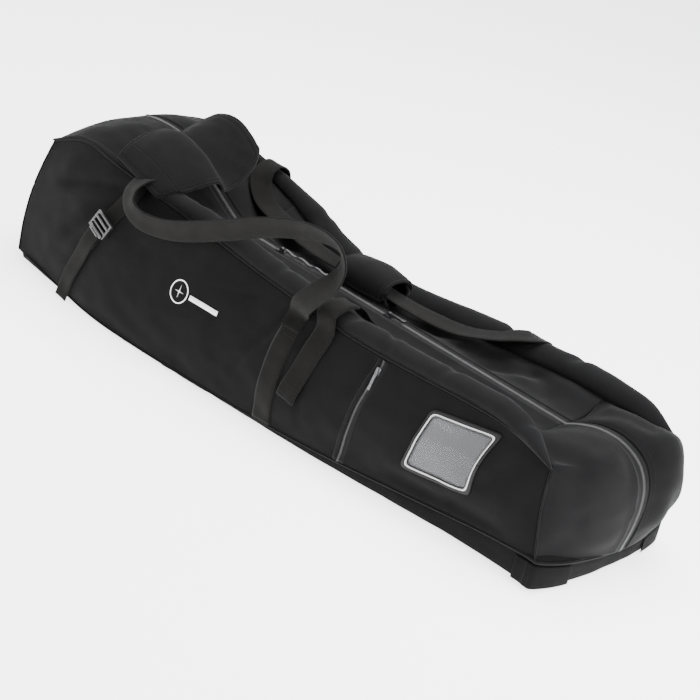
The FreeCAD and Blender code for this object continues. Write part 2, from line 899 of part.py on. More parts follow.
def make_front_handle():
    """The front handle, from the head strap's side up and down to its sewn band."""
    path = [
        (handle_head_x, 240, (0, -0.2, 1)),
        (-210, 242, (0, -0.3, 1)),
        (-110, 264, (-0.1, -0.3, 1)),
        (-20, 300, (-0.2, -0.3, 1)),
        (52, 324, (0.0, -0.5, 0.8)),
        (102, 325, (0.5, -0.6, 0.4)),
        (128, 305, (0.9, -0.4, 0.1)),
        (118, 275, (1, -0.3, -0.1)),
        (84, 246, (1, 0, -0.3)),
        (handle_band_x + 4, 216, (1, 0, -0.2)),
    ]
    stations = [((x, front_handle_y(x), z), across) for x, z, across in path]
    save("front_handle", ribbon(stations, web_width, web_thickness))


def back_top_axes(x):
    """Directions from the back roll towards the zip, and up off the back top panel."""
    axis = roll_point(x, 1)
    edge = Vector(0, zip_y - axis.y, zip_z - axis.z).normalize()
    return edge, Vector(0, edge.z, -edge.y)


def back_handle_point(x, reach, lift):
    """A point above the back top panel, at a reach from the back roll's axis."""
    edge, up = back_top_axes(x)
    return roll_point(x, 1) + edge * reach + up * lift


def make_back_handle():
    """The back handle: over the back roll, along the top panel and back over the roll."""
    lift = roll_radius + web_gap + web_thickness
    turn = [(0, -6, lift - 1), (3, 8, lift), (13, 24, lift), (33, 38, lift), (66, 46, lift + 1)]
    spots = [(back_band_head_x + x, reach, height) for x, reach, height in turn]
    spots += [(-180, handle_reach, handle_lift - 1), (0, handle_reach, handle_lift)]
    spots.append((150, handle_reach, handle_lift))
    spots += [(back_band_foot_x - x, reach, height) for x, reach, height in reversed(turn)]
    centres = [back_handle_point(*spot) for spot in spots]
    stations = []
    for i, centre in enumerate(centres):
        ahead = centres[min(i + 1, len(centres) - 1)] - centres[max(i - 1, 0)]
        up = back_top_axes(spots[i][0])[1]
        stations.append((tuple(centre), tuple(up.cross(ahead).normalize())))
    save("back_handle", ribbon(stations, web_width * 0.8, web_thickness))


def wrap_centre():
    """Middle of the hand wrap, set so that the handle's webbing lies just above its floor."""
    point = back_handle_point(wrap_x, handle_reach, handle_lift)
    return point.y, point.z - web_thickness - wrap_room_below - wrap_wall + wrap_height / 2


def make_hand_wrap():
    """A padded wrap round the back handle: a trough and a cover that opens."""
    wrap_y, wrap_z = wrap_centre()
    low_x = wrap_x - wrap_length / 2
    high_x = wrap_x + wrap_length / 2
    half_wide = wrap_width / 2
    half_high = wrap_height / 2
    outer = box((low_x, wrap_y - half_wide, wrap_z - half_high),
                (high_x, wrap_y + half_wide, wrap_z + half_high))
    edges = [edge for edge in outer.Edges if abs(edge.tangentAt(edge.FirstParameter).x) > 0.99]
    outer = outer.makeFillet(half_high * 0.6, edges)
    inner_wide = half_wide - wrap_wall
    inner_high = half_high - wrap_wall
    inner = box((low_x - 1, wrap_y - inner_wide, wrap_z - inner_high),
                (high_x + 1, wrap_y + inner_wide, wrap_z + inner_high))
    edges = [edge for edge in inner.Edges if abs(edge.tangentAt(edge.FirstParameter).x) > 0.99]
    inner = inner.makeFillet(inner_high * 0.5, edges)
    tube = outer.cut(inner)
    split_z = wrap_z + half_high * 0.3
    lower = box((low_x - 1, wrap_y - wrap_width, wrap_z - wrap_height),
                (high_x + 1, wrap_y + wrap_width, split_z))
    upper = box((low_x - 1, wrap_y - wrap_width, split_z + wrap_gap),
                (high_x + 1, wrap_y + wrap_width, wrap_z + wrap_height))
    save("hand_wrap_trough", tube.common(lower))
    save("hand_wrap_cover", tube.common(upper))


# ---------------------------------------------------------------- flap


def flap_half(near, far, rounded_far):
    """A padded plate between two lines along X, with two rounded corners."""
    run = Vector(0, far[0] - near[0], far[1] - near[1])
    depth = run.Length
    plate = Part.makeBox(flap_length, depth, flap_thickness)
    corner_y = depth if rounded_far else 0
    picked = []
    for edge in plate.Edges:
        upright = abs(edge.tangentAt(edge.FirstParameter).z) > 0.99
        if upright and abs(edge.CenterOfMass.y - corner_y) < 1:
            picked.append(edge)
    plate = plate.makeFillet(flap_corner, picked)
    angle = math.degrees(math.atan2(run.z, run.y))
    plate.rotate(Vector(0, 0, 0), Vector(1, 0, 0), angle)
    plate.translate(Vector(flap_centre_x - flap_length / 2, near[0], near[1]))
    return plate


def make_flap():
    """The padded flap: a half sewn near the front seam, and a half that folds on it."""
    near = flap_half((flap_sewn_y, flap_sewn_z), (flap_fold_y, flap_fold_z), False)
    save("flap_near_half", near)
    start = (flap_fold_y + flap_fold_gap, flap_fold_z)
    save("flap_far_half", flap_half(start, (flap_far_y, flap_far_z), True))


def main():
    make_base()
    make_base_band()
    make_side_panels()
    make_head_end()
    make_foot_end()
    make_rolls()
    make_lids()
    make_head_top()
    make_fixed_zips()
    make_main_sliders()
    make_pocket()
    make_pocket_slider()
    make_window()
    make_mark()
    make_corner_patches()
    make_handle_bands()
    make_head_strap()
    make_ladder_lock()
    make_hanging_strap()
    make_front_handle()
    make_back_handle()
    make_hand_wrap()
    make_flap()


main()
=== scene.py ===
import math

import bmesh
import bpy
from mathutils import Matrix, Vector, noise


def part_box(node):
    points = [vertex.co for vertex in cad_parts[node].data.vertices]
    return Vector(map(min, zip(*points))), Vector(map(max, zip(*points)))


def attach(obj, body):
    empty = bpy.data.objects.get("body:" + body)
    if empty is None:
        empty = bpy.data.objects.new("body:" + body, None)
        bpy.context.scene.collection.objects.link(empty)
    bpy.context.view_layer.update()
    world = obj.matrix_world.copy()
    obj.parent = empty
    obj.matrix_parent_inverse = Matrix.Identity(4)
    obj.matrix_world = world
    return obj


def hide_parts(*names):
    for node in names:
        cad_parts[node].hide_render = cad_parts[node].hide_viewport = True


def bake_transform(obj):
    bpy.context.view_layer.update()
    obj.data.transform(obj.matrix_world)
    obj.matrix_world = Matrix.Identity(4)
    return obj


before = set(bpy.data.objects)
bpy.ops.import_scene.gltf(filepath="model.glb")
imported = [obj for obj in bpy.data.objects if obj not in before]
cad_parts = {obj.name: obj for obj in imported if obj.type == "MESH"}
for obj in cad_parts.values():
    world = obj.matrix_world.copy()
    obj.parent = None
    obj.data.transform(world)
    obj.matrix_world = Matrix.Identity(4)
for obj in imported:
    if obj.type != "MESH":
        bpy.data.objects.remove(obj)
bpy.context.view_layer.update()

# A long padded cloth carry case. Metres; +X is the foot end, -Y the front, +Z up.

base_low, base_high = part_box("base_skin")
band_low, band_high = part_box("base_band_front")
chain_low, chain_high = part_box("main_zip_chain")
lid_low, lid_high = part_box("front_top_panel")

HALF_LENGTH = band_high.x
HEAD_HALF = -band_low.y
FOOT_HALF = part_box("base_band_foot")[1].y
ZIP_Y = (chain_low.y + chain_high.y) / 2
ZIP_Z = (chain_low.z + chain_high.z) / 2
CHAIN_HALF = (chain_high.y - chain_low.y) / 2
LID_HEAD = chain_low.x
LID_FOOT = chain_high.x
TAPE = 0.011
SKIN = 0.007
WEB = 0.038


# ---------------------------------------------------------------- shape tools


def mix(a, b, t):
    return a + (b - a) * t


def ease(t):
    t = min(max(t, 0.0), 1.0)
    return t * t * (3 - 2 * t)


def smooth(x, knots):
    """A smooth value at x through (x, value) knots."""
    if x <= knots[0][0]:
        return knots[0][1]
    if x >= knots[-1][0]:
        return knots[-1][1]
    for i in range(len(knots) - 1):
        (x0, v0), (x1, v1) = knots[i], knots[i + 1]
        if x <= x1:
            break
    before = knots[i - 1] if i else knots[0]
    after = knots[i + 2] if i + 2 < len(knots) else knots[-1]
    run = x1 - x0
    m0 = (v1 - before[1]) / (x1 - before[0]) * run
    m1 = (after[1] - v0) / (after[0] - x0) * run
    t = (x - x0) / run
    return ((2 * t**3 - 3 * t**2 + 1) * v0 + (t**3 - 2 * t**2 + t) * m0
            + (3 * t**2 - 2 * t**3) * v1 + (t**3 - t**2) * m1)


def through(points, t):
    """A point of the smooth line through points, t from 0 to 1."""
    last = len(points) - 1
    place = min(max(t, 0.0), 1.0) * last
    i = min(int(place), last - 1)
    f = place - i
    p1, p2 = points[i], points[i + 1]
    p0 = points[i - 1] if i else p1 * 2 - p2
    p3 = points[i + 2] if i + 2 <= last else p2 * 2 - p1
    return (p1 * 2 + (p2 - p0) * f + (p0 * 2 - p1 * 5 + p2 * 4 - p3) * f * f
            + (p1 * 3 - p0 - p2 * 3 + p3) * f * f * f) * 0.5


def even_line(points, spacing, detail=40):
    """Points at an even spacing along the smooth line through points."""
    points = [Vector(p) for p in points]
    count = detail * (len(points) - 1)
    dense = [through(points, i / count) for i in range(count + 1)]
    total = sum((b - a).length for a, b in zip(dense, dense[1:]))
    steps = max(1, round(total / spacing))
    step = total / steps
    out, run, goal = [dense[0].copy()], 0.0, step
    for a, b in zip(dense, dense[1:]):
        length = (b - a).length
        while run + length >= goal - 1e-9 and len(out) <= steps:
            out.append(a.lerp(b, (goal - run) / length if length else 0))
            goal += step
        run += length
    if len(out) < steps + 1:
        out.append(dense[-1].copy())
    return out


class Surface:
    """A smooth surface through rows of points, with relief along its normals."""

    def __init__(self, rows, relief=None, outward=(0, 0, 1)):
        self.rows = [[Vector(p) for p in row] for row in rows]
        self.relief = relief
        middle = self.flat_normal(0.5, 0.5)
        self.sign = 1 if middle.dot(Vector(outward)) > 0 else -1

    def flat(self, u, v):
        return through([through(row, u) for row in self.rows], v)

    def flat_normal(self, u, v):
        e = 0.004
        du = self.flat(min(u + e, 1), v) - self.flat(max(u - e, 0), v)
        dv = self.flat(u, min(v + e, 1)) - self.flat(u, max(v - e, 0))
        n = du.cross(dv)
        return n.normalized() if n.length > 1e-12 else Vector((0, 0, 1))

    def normal(self, u, v):
        return self.flat_normal(u, v) * self.sign

    def at(self, u, v, lift=0.0):
        p = self.flat(u, v)
        n = self.normal(u, v)
        if self.relief:
            lift += self.relief(p, u, v)
        return p + n * lift

    def grid(self, columns, lines, u0=0.0, u1=1.0, v0=0.0, v1=1.0):
        out = []
        for j in range(lines + 1):
            v = mix(v0, v1, j / lines)
            out.append([self.at(mix(u0, u1, i / columns), v) for i in range(columns + 1)])
        return out


def new_object(name, mesh):
    obj = bpy.data.objects.new(name, mesh)
    bpy.context.scene.collection.objects.link(obj)
    return obj


def shade_smooth(mesh):
    for polygon in mesh.polygons:
        polygon.use_smooth = True


def grid_mesh(name, grid, closed=False, flip=False):
    """A mesh of quads over a grid of points, with a UV map in metres."""
    lines, columns = len(grid), len(grid[0])
    mesh = bpy.data.meshes.new(name)
    verts = [p for line in grid for p in line]
    faces = []
    spans = columns if closed else columns - 1
    for j in range(lines - 1):
        for i in range(spans):
            k = (i + 1) % columns
            quad = (j * columns + i, j * columns + k, (j + 1) * columns + k, (j + 1) * columns + i)
            faces.append(quad[::-1] if flip else quad)
    mesh.from_pydata(verts, [], faces)
    mid_line, mid_column = grid[lines // 2], [line[columns // 2] for line in grid]
    u_run, v_run = [0.0], [0.0]
    for a, b in zip(mid_line, mid_line[1:] + mid_line[:1]):
        u_run.append(u_run[-1] + (b - a).length)
    for a, b in zip(mid_column, mid_column[1:]):
        v_run.append(v_run[-1] + (b - a).length)
    layer = mesh.uv_layers.new(name="Cloth")
    loop = 0
    for j in range(lines - 1):
        for i in range(spans):
            corners = [(i, j), (i + 1, j), (i + 1, j + 1), (i, j + 1)]
            for a, b in (corners[::-1] if flip else corners):
                layer.data[loop].uv = (u_run[a], v_run[b])
                loop += 1
    shade_smooth(mesh)
    return mesh


def place(obj, body, slot, finish, stands_for=(), blend=None, padded=None):
    """Give a finished piece its material and body, and hide the parts it stands for."""
    if finish:
        obj.data.materials.clear()
        for material in (finish if isinstance(finish, tuple) else (finish,)):
            obj.data.materials.append(material)
    if blend:
        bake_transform(obj)
    else:
        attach(obj, body)
    if stands_for:
        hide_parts(*stands_for)
    return obj


def add_wall(obj, thickness):
    """Give a sheet its thickness, on the side its faces turn away from."""
    wall = obj.modifiers.new("Wall", "SOLIDIFY")
    wall.thickness = thickness
    wall.offset = -1
    wall.use_even_offset = False
    return wall


def skin(name, surface, columns, lines, body, slot, finish, stands_for=(), span=(0, 1, 0, 1),
         thickness=SKIN, blend=None, padded=0.5):
    """A padded cloth skin over a surface, with its lining on the inside."""
    grid = surface.grid(columns, lines, *span)
    mesh = grid_mesh(name, grid, flip=surface.sign < 0)
    obj = new_object(name, mesh)
    wall = add_wall(obj, thickness)
    wall.material_offset = 1
    wall.material_offset_rim = 0
    return place(obj, body, slot, (finish, LINING), stands_for, blend, padded)


def tube(name, points, radius, body, slot, finish, sides=10, spacing=0.004, squash=1.0, ends=True,
         blend=None):
    """A round welt or cord of cloth along a line."""
    line = even_line(points, spacing)
    up = Vector((0, 0, 1))
    grid = []
    for i, p in enumerate(line):
        ahead = (line[min(i + 1, len(line) - 1)] - line[max(i - 1, 0)]).normalized()
        side = ahead.cross(up)
        if side.length < 0.2:
            side = ahead.cross(Vector((0, 1, 0)))
        side.normalize()
        out = side.cross(ahead).normalized()
        r = radius
        if ends and i in (0, len(line) - 1):
            r = radius * 0.3
        grid.append([p + side * math.cos(a) * r + out * math.sin(a) * r * squash
                     for a in (2 * math.pi * k / sides for k in range(sides))])
    mesh = grid_mesh(name, grid, closed=True)
    close_ends(mesh, sides, len(line))
    return place(new_object(name, mesh), body, slot, finish, blend=blend)


def close_ends(mesh, sides, lines):
    """Cap both ends of a closed run of rings and turn all faces outwards."""
    bm = bmesh.new()
    bm.from_mesh(mesh)
    bm.verts.ensure_lookup_table()
    for ring in (range(sides), range((lines - 1) * sides, lines * sides)):
        bm.faces.new([bm.verts[i] for i in ring])
    bmesh.ops.recalc_face_normals(bm, faces=bm.faces)
    bm.to_mesh(mesh)
    bm.free()
    shade_smooth(mesh)


def band_grid(stations, width, thickness, spacing=0.006, cup=0.0):
    """Rings of a flat woven band through stations of (centre, width direction)."""
    centres = [Vector(c) for c, w in stations]
    widths = [Vector(w).normalized() for c, w in stations]
    count = max(8, int(sum((b - a).length for a, b in zip(centres, centres[1:])) / spacing))
    shape = [(-1, 0), (-0.97, 0.7), (-0.9, 1), (-0.45, 1), (0, 1), (0.45, 1), (0.9, 1), (0.97, 0.7),
             (1, 0), (0.97, -0.7), (0.9, -1), (0.45, -1), (0, -1), (-0.45, -1), (-0.9, -1),
             (-0.97, -0.7)]
    rings = []
    for i in range(count + 1):
        t = i / count
        centre = through(centres, t)
        ahead = (through(centres, min(t + 0.01, 1)) - through(centres,
                max(t - 0.01, 0))).normalized()
        across = through(widths, t)
        across = (across - ahead * across.dot(ahead)).normalized()
        out = across.cross(ahead)
        ring = []
        for a, b in shape:
            bend = cup * (1 - a * a)
            ring.append(centre + across * (a * width / 2) + out * (b * thickness / 2 + bend))
        rings.append(ring)
    return rings, len(shape)


def band(name, stations, width, thickness, body, finish=None, stands_for=(), blend=None, cup=0.0,
         slot="webbing"):
    """A woven band that lies or hangs along stations."""
    rings, sides = band_grid(stations, width, thickness, cup=cup)
    mesh = grid_mesh(name, rings, closed=True)
    layer = mesh.uv_layers["Cloth"]
    shape_u = [-1, -0.97, -0.9, -0.45, 0, 0.45, 0.9, 0.97, 1, 0.97, 0.9, 0.45, 0, -0.45, -0.9,
               -0.97, -1]
    loop = 0
    for j in range(len(rings) - 1):
        for i in range(sides):
            for a in (i, i + 1, i + 1, i):
                layer.data[loop].uv.x = shape_u[a] * width / 2
                loop += 1
    close_ends(mesh, sides, len(rings))
    return place(new_object(name, mesh), body, slot, finish or WEBBING, stands_for, blend)


# ---------------------------------------------------------------- materials


class Value:
    """A number socket that can be used in sums."""

    def __init__(self, finish, socket):
        self.finish = finish
        self.socket = socket

    def maths(self, operation, first, second):
        return self.finish.node("ShaderNodeMath", {"operation": operation}, {0: first, 1: second})

    def __add__(self, other):
        return self.maths("ADD", self, other)

    __radd__ = __add__

    def __mul__(self, other):
        return self.maths("MULTIPLY", self, other)

    __rmul__ = __mul__

    def __sub__(self, other):
        return self.maths("SUBTRACT", self, other)

    def __rsub__(self, other):
        return self.maths("SUBTRACT", other, self)


class Finish:
    """A procedural material round one Principled shader."""

    def __init__(self, name, **constants):
        self.material = bpy.data.materials.new(name)
        self.material.use_nodes = True
        self.nodes = self.material.node_tree.nodes
        self.links = self.material.node_tree.links
        self.shader = self.nodes["Principled BSDF"]
        for socket, value in constants.items():
            self.shader.inputs[socket.replace("_", " ")].default_value = value

    def node(self, kind, settings=None, values=None, output=0):
        """Add a node: its settings first, then its sockets' values or links."""
        made = self.nodes.new(kind)
        for key, value in (settings or {}).items():
            if key == "stops":
                for element, (position, colour) in zip(made.color_ramp.elements, value):
                    element.position = position
                    element.color = colour
            else:
                setattr(made, key, value)
        for key, value in (values or {}).items():
            if isinstance(value, Value):
                self.links.new(value.socket, made.inputs[key])
            else:
                made.inputs[key].default_value = value
        return Value(self, made.outputs[output])

    def feed(self, socket, value):
        self.links.new(value.socket, self.shader.inputs[socket])

    def colours(self, factor, dark, light):
        """A colour between two, by a factor."""
        return self.node("ShaderNodeMix", {"data_type": "RGBA"},
                         {0: factor, 6: (*dark, 1), 7: (*light, 1)}, 2)

    def noise(self, scale, detail=3.0, rough=0.55):
        place = self.node("ShaderNodeTexCoord", output=3)
        return self.node("ShaderNodeTexNoise", {}, {"Vector": place, "Scale": scale,
                                                    "Detail": detail,
                                                    "Roughness": rough})

    def threads(self, pitch_u, pitch_v):
        """Sines across and along the piece's own UV map."""
        uv = self.node("ShaderNodeUVMap", {"uv_map": "Cloth"})
        u = self.node("ShaderNodeSeparateXYZ", {}, {0: uv})
        v = Value(self, u.socket.node.outputs[1])
        wave = []
        for value, pitch in ((u, pitch_u), (v, pitch_v)):
            turn = value * (2 * math.pi / pitch)
            wave.append(self.node("ShaderNodeMath", {"operation": "SINE"}, {0: turn}))
        return wave

    def bump(self, height, strength, distance):
        self.feed("Normal", self.node("ShaderNodeBump", {},
                                      {"Strength": strength, "Distance": distance,
                                                             "Height": height}))


def woven(name, dark, light, pitch, strength, roughness, sheen, mottle=26.0):
    """A plain woven cloth: crossing threads, mottled shade, and a soft nap."""
    cloth = Finish(name, Sheen_Weight=sheen, Sheen_Roughness=0.45, Specular_IOR_Level=0.06)
    warp, weft = cloth.threads(pitch, pitch)
    cross = warp * weft
    fuzz = cloth.noise(900.0, 2.0)
    patch = cloth.noise(mottle, 4.0, 0.6)
    wear = cloth.noise(5.0, 3.0)
    shade = patch * 0.55 + fuzz * 0.35 + wear * 0.3 - 0.1 + cross * 0.06
    cloth.feed("Base Color", cloth.colours(shade, dark, light))
    cloth.feed("Roughness", roughness - 0.12 * wear + 0.06 * fuzz)
    cloth.bump(cross * 0.5 + fuzz * 0.7, strength, pitch * 0.45)
    return cloth.material


def ribbed(name, dark, light, pitch, strength):
    """Webbing: ribs along its length, crossed by fine picks."""
    web = Finish(name, Sheen_Weight=0.06, Sheen_Roughness=0.4, Specular_IOR_Level=0.08)
    across, along = web.threads(pitch, pitch * 0.55)
    fuzz = web.noise(700.0, 2.0)
    patch = web.noise(35.0, 3.0)
    shade = across * 0.22 + along * 0.08 + patch * 0.5 + fuzz * 0.3 + 0.05
    web.feed("Base Color", web.colours(shade, dark, light))
    web.feed("Roughness", 0.82 - 0.15 * patch)
    web.bump(across * 0.6 + along * 0.25 + fuzz * 0.3, strength, 0.0006)
    return web.material


def moulded(name, dark, light, roughness, metallic=0.0, coat=0.0, grain=160.0, spread=0.15,
            specular=0.5):
    """A hard finish with fine grain, faint smears and rubbed places."""
    hard = Finish(name, Metallic=metallic, Coat_Weight=coat, Coat_Roughness=0.08,
                  Specular_IOR_Level=specular)
    smear = hard.noise(22.0, 4.0)
    fine = hard.noise(grain, 3.0)
    hard.feed("Base Color", hard.colours(smear * 0.6 + fine * 0.4, dark, light))
    hard.feed("Roughness", roughness - spread / 2 + spread * smear)
    hard.bump(fine, 0.12, 0.0003)
    return hard.material


BODY = woven("body_cloth", (0.0020, 0.0019, 0.0019), (0.0063, 0.0062, 0.0062), 0.0012, 0.34, 0.9,
             0.035)
GUSSET = woven("top_cloth", (0.0024, 0.0024, 0.0026), (0.0075, 0.0075, 0.0081), 0.0011, 0.3, 0.8,
               0.05)
BASE = woven("base_cloth", (0.0016, 0.0016, 0.0017), (0.0050, 0.0050, 0.0051), 0.0016, 0.5, 0.86,
             0.02, 60.0)
LINING = woven("lining_cloth", (0.0032, 0.0032, 0.0034), (0.0088, 0.0088, 0.0090), 0.0009, 0.2,
               0.75, 0.03)
PAD = woven("pad_cloth", (0.0023, 0.0023, 0.0023), (0.0072, 0.0071, 0.0072), 0.0012, 0.3, 0.9, 0.05)
WEBBING = ribbed("ribbed_webbing", (0.0015, 0.0014, 0.0013), (0.0063, 0.0057, 0.0053), 0.0019, 0.5)
BINDING = ribbed("edge_binding", (0.0020, 0.0020, 0.0020), (0.0073, 0.0071, 0.0070), 0.002, 0.5)
ZIP_TAPE = ribbed("zip_tape", (0.0022, 0.0022, 0.0023), (0.0076, 0.0076, 0.0078), 0.0016, 0.5)
THREAD = moulded("stitch_thread", (0.006, 0.006, 0.0062), (0.017, 0.017, 0.0175), 0.7,
                 specular=0.15)
COIL = moulded("zip_coil", (0.020, 0.020, 0.021), (0.075, 0.075, 0.078), 0.3, 0.0, 0.4, 400.0)
METAL = moulded("plated_metal", (0.16, 0.16, 0.165), (0.34, 0.34, 0.35), 0.26, 1.0, 0.0, 300.0)
PLASTIC = moulded("moulded_plastic", (0.006, 0.006, 0.0062), (0.018, 0.018, 0.0185), 0.3, 0.0, 0.3)
PULL = moulded("glossy_pull", (0.03, 0.03, 0.032), (0.10, 0.10, 0.104), 0.16, 0.0, 1.0)
VINYL = moulded("window_vinyl", (0.0031, 0.0031, 0.0034), (0.0091, 0.0091, 0.0095), 0.45, 0.0,
                0.03, 240.0, specular=0.2)
PRINT = moulded("white_print", (0.78, 0.78, 0.77), (0.92, 0.92, 0.91), 0.55, 0.0, 0.0, 500.0)


def card_finish():
    """A grey card with faint mottling, lightening towards one end: painted light, lighter towards
    its head end and top.
    """
    card = Finish("card_stock", Specular_IOR_Level=0.5)
    place = card.node("ShaderNodeTexCoord", output=3)
    x = card.node("ShaderNodeSeparateXYZ", {}, {0: place})
    low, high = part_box("id_card")
    z = Value(card, x.socket.node.outputs[2])
    # painted light: the card is lighter towards the head end and the top, darker towards the foot
    # end and the bottom
    share = (x - low.x) * (0.6 / (high.x - low.x)) + (high.z - z) * (0.4 / (high.z - low.z))
    share = share + card.noise(30.0, 3.0) * 0.3 - 0.15
    card.feed("Base Color", card.colours(share, (0.085, 0.085, 0.092), (0.018, 0.0185, 0.0205)))
    card.feed("Roughness", 0.5 + card.noise(300.0) * 0.1)
    return card.material


CARD = card_finish()


def clear_finish():
    """A thin clear sheet with slight scuffs."""
    clear = Finish("clear_sheet", IOR=1.45, Alpha=0.10)
    scuff = clear.noise(60.0, 5.0, 0.7)
    clear.feed("Base Color", clear.colours(scuff, (0.10, 0.10, 0.11), (0.20, 0.20, 0.21)))
    clear.feed("Roughness", 0.06 + scuff * 0.12)
    return clear.material


CLEAR = clear_finish()


# ---------------------------------------------------------------- repeated items


def bead_tree():
    """Geometry nodes that set one rounded bead on every point, turned as the point says."""
    tree = bpy.data.node_groups.new("row_of_beads", "GeometryNodeTree")
    face = tree.interface
    face.new_socket("Points", in_out="INPUT", socket_type="NodeSocketGeometry")
    for label in ("Length", "Width", "Height"):
        face.new_socket(label, in_out="INPUT", socket_type="NodeSocketFloat")
    face.new_socket("Material", in_out="INPUT", socket_type="NodeSocketMaterial")
    face.new_socket("Row", in_out="OUTPUT", socket_type="NodeSocketGeometry")
    nodes, links = tree.nodes, tree.links
    start = nodes.new("NodeGroupInput")
    end = nodes.new("NodeGroupOutput")
    ball = nodes.new("GeometryNodeMeshUVSphere")
    ball.inputs["Segments"].default_value = 6
    ball.inputs["Rings"].default_value = 4
    ball.inputs["Radius"].default_value = 0.5
    size = nodes.new("ShaderNodeCombineXYZ")
    shaped = nodes.new("GeometryNodeTransform")
    turn = nodes.new("GeometryNodeInputNamedAttribute")
    turn.data_type = "QUATERNION"
    turn.inputs["Name"].default_value = "turn"
    copies = nodes.new("GeometryNodeInstanceOnPoints")
    solid = nodes.new("GeometryNodeRealizeInstances")
    smooth_faces = nodes.new("GeometryNodeSetShadeSmooth")
    painted = nodes.new("GeometryNodeSetMaterial")
    links.new(start.outputs["Length"], size.inputs[0])
    links.new(start.outputs["Width"], size.inputs[1])
    links.new(start.outputs["Height"], size.inputs[2])
    links.new(ball.outputs["Mesh"], shaped.inputs["Geometry"])
    links.new(size.outputs[0], shaped.inputs["Scale"])
    links.new(start.outputs["Points"], copies.inputs["Points"])
    links.new(shaped.outputs["Geometry"], copies.inputs["Instance"])
    links.new(turn.outputs["Attribute"], copies.inputs["Rotation"])
    links.new(copies.outputs["Instances"], solid.inputs["Geometry"])
    links.new(solid.outputs["Geometry"], smooth_faces.inputs["Geometry"])
    links.new(smooth_faces.outputs["Geometry"], painted.inputs["Geometry"])
    links.new(start.outputs["Material"], painted.inputs["Material"])
    links.new(painted.outputs["Geometry"], end.inputs["Row"])
    return tree


BEADS = bead_tree()


def beads(name, places, size, finish, body, slot, stands_for=(), blend=None):
    """A row of beads at places, each a point, its run and its outward direction."""
    mesh = bpy.data.meshes.new(name + "_points")
    mesh.from_pydata([Vector(p) for p, run, out in places], [], [])
    turns = mesh.attributes.new("turn", "QUATERNION", "POINT")
    for i, (p, run, out) in enumerate(places):
        x = Vector(run).normalized()
        z = Vector(out)
        z = (z - x * z.dot(x)).normalized()
        y = z.cross(x)
        q = Matrix((x, y, z)).transposed().to_quaternion()
        turns.data[i].value = (q.w, q.x, q.y, q.z)
    seed = new_object(name + "_points", mesh)
    row = seed.modifiers.new("Row", "NODES")
    row.node_group = BEADS
    named = {item.name: item.identifier for item in BEADS.interface.items_tree
             if item.in_out == "INPUT"}
    for label, value in zip(("Length", "Width", "Height"), size):
        row[named[label]] = float(value)
    row[named["Material"]] = finish
    seed.update_tag()
    graph = bpy.context.evaluated_depsgraph_get()
    made = bpy.data.meshes.new_from_object(seed.evaluated_get(graph))
    made.name = name
    bpy.data.objects.remove(seed)
    return place(new_object(name, made), body, slot, None, stands_for, blend)


STITCH = (0.0027, 0.0007, 0.0006)  # one stitch: length, width, height
STITCH_STEP = 0.0044  # from one stitch to the next along a seam


def stitches(name, line, normals, body, spacing=0.0042, size=STITCH, blend=None,
             finish=None):
    """A row of stitches along a line of points with an outward direction at each."""
    places = []
    for i, p in enumerate(line):
        run = line[min(i + 1, len(line) - 1)] - line[max(i - 1, 0)]
        places.append((p, run, normals[i]))
    return beads(name, places, size, finish or THREAD, body, "webbing", blend=blend)


def surface_line(surface, u_of, v_of, spacing, lift):
    """Evenly spaced points, with their normals, along a line drawn on a surface."""
    count = 240
    dense = []
    for i in range(count + 1):
        t = i / count
        u, v = u_of(t), v_of(t)
        dense.append((surface.at(u, v, lift), surface.normal(u, v)))
    total = sum((b[0] - a[0]).length for a, b in zip(dense, dense[1:]))
    steps = max(1, round(total / spacing))
    points, normals, run, goal = [], [], 0.0, 0.0
    for a, b in zip(dense, dense[1:]):
        length = (b[0] - a[0]).length
        while run + length >= goal - 1e-9 and len(points) <= steps:
            f = (goal - run) / length if length > 1e-9 else 0
            points.append(a[0].lerp(b[0], f))
            normals.append(a[1].lerp(b[1], f).normalized())
            goal += total / steps
        run += length
    return points, normals


def seam_stitches(name, surface, u_of, v_of, lift, body="case"):
    """A row of stitches along a line drawn on a surface."""
    points, normals = surface_line(surface, u_of, v_of, STITCH_STEP, lift)
    stitches(name, points, normals, body)


# ---------------------------------------------------------------- the bag's own lines


def half_width(x):
    return mix(HEAD_HALF, FOOT_HALF, (x + HALF_LENGTH) / (2 * HALF_LENGTH))


FRONT_BASE = [(-0.58, 0.014), (-0.34, 0.004), (0.0, 0.008), (0.18, 0.017), (0.36, 0.03),
              (0.5, 0.044), (0.58, 0.05)]
BACK_BASE = [(-0.58, 0.016), (-0.3, 0.026), (0.2, 0.036), (0.5, 0.05), (0.58, 0.056)]
FRONT_LOW = [(-0.58, 0.0), (-0.52, 0.008), (-0.34, 0.034), (0.0, 0.03), (0.19, 0.02), (0.42, 0.0),
             (0.58, -0.002)]
BACK_LOW = [(-0.58, 0.0), (-0.4, 0.012), (-0.05, 0.02), (0.25, 0.012), (0.58, 0.0)]
FRONT_TOP = [(-0.575, 0.208), (-0.562, 0.226), (-0.535, 0.244), (-0.48, 0.256), (-0.37, 0.246),
             (-0.15, 0.224), (-0.06, 0.213), (0.13, 0.198),
             (0.24, 0.198), (0.36, 0.203), (0.44, 0.205), (0.5, 0.195), (0.545, 0.178)]
BACK_TOP = [(-0.575, 0.208), (-0.562, 0.224), (-0.535, 0.240), (-0.48, 0.247), (-0.36, 0.222),
            (-0.25, 0.203), (-0.18, 0.18), (-0.12, 0.158),
            (0.03, 0.153), (0.17, 0.172), (0.3, 0.186), (0.39, 0.195), (0.47, 0.198),
            (0.545, 0.192), (0.575, 0.176)]
ZIP_LINE = [(-0.562, 0.25), (-0.535, 0.262), (-0.5, 0.268), (-0.445, 0.266), (-0.4, 0.245),
            (-0.34, 0.211),
            (-0.285, 0.181), (LID_HEAD, ZIP_Z)]
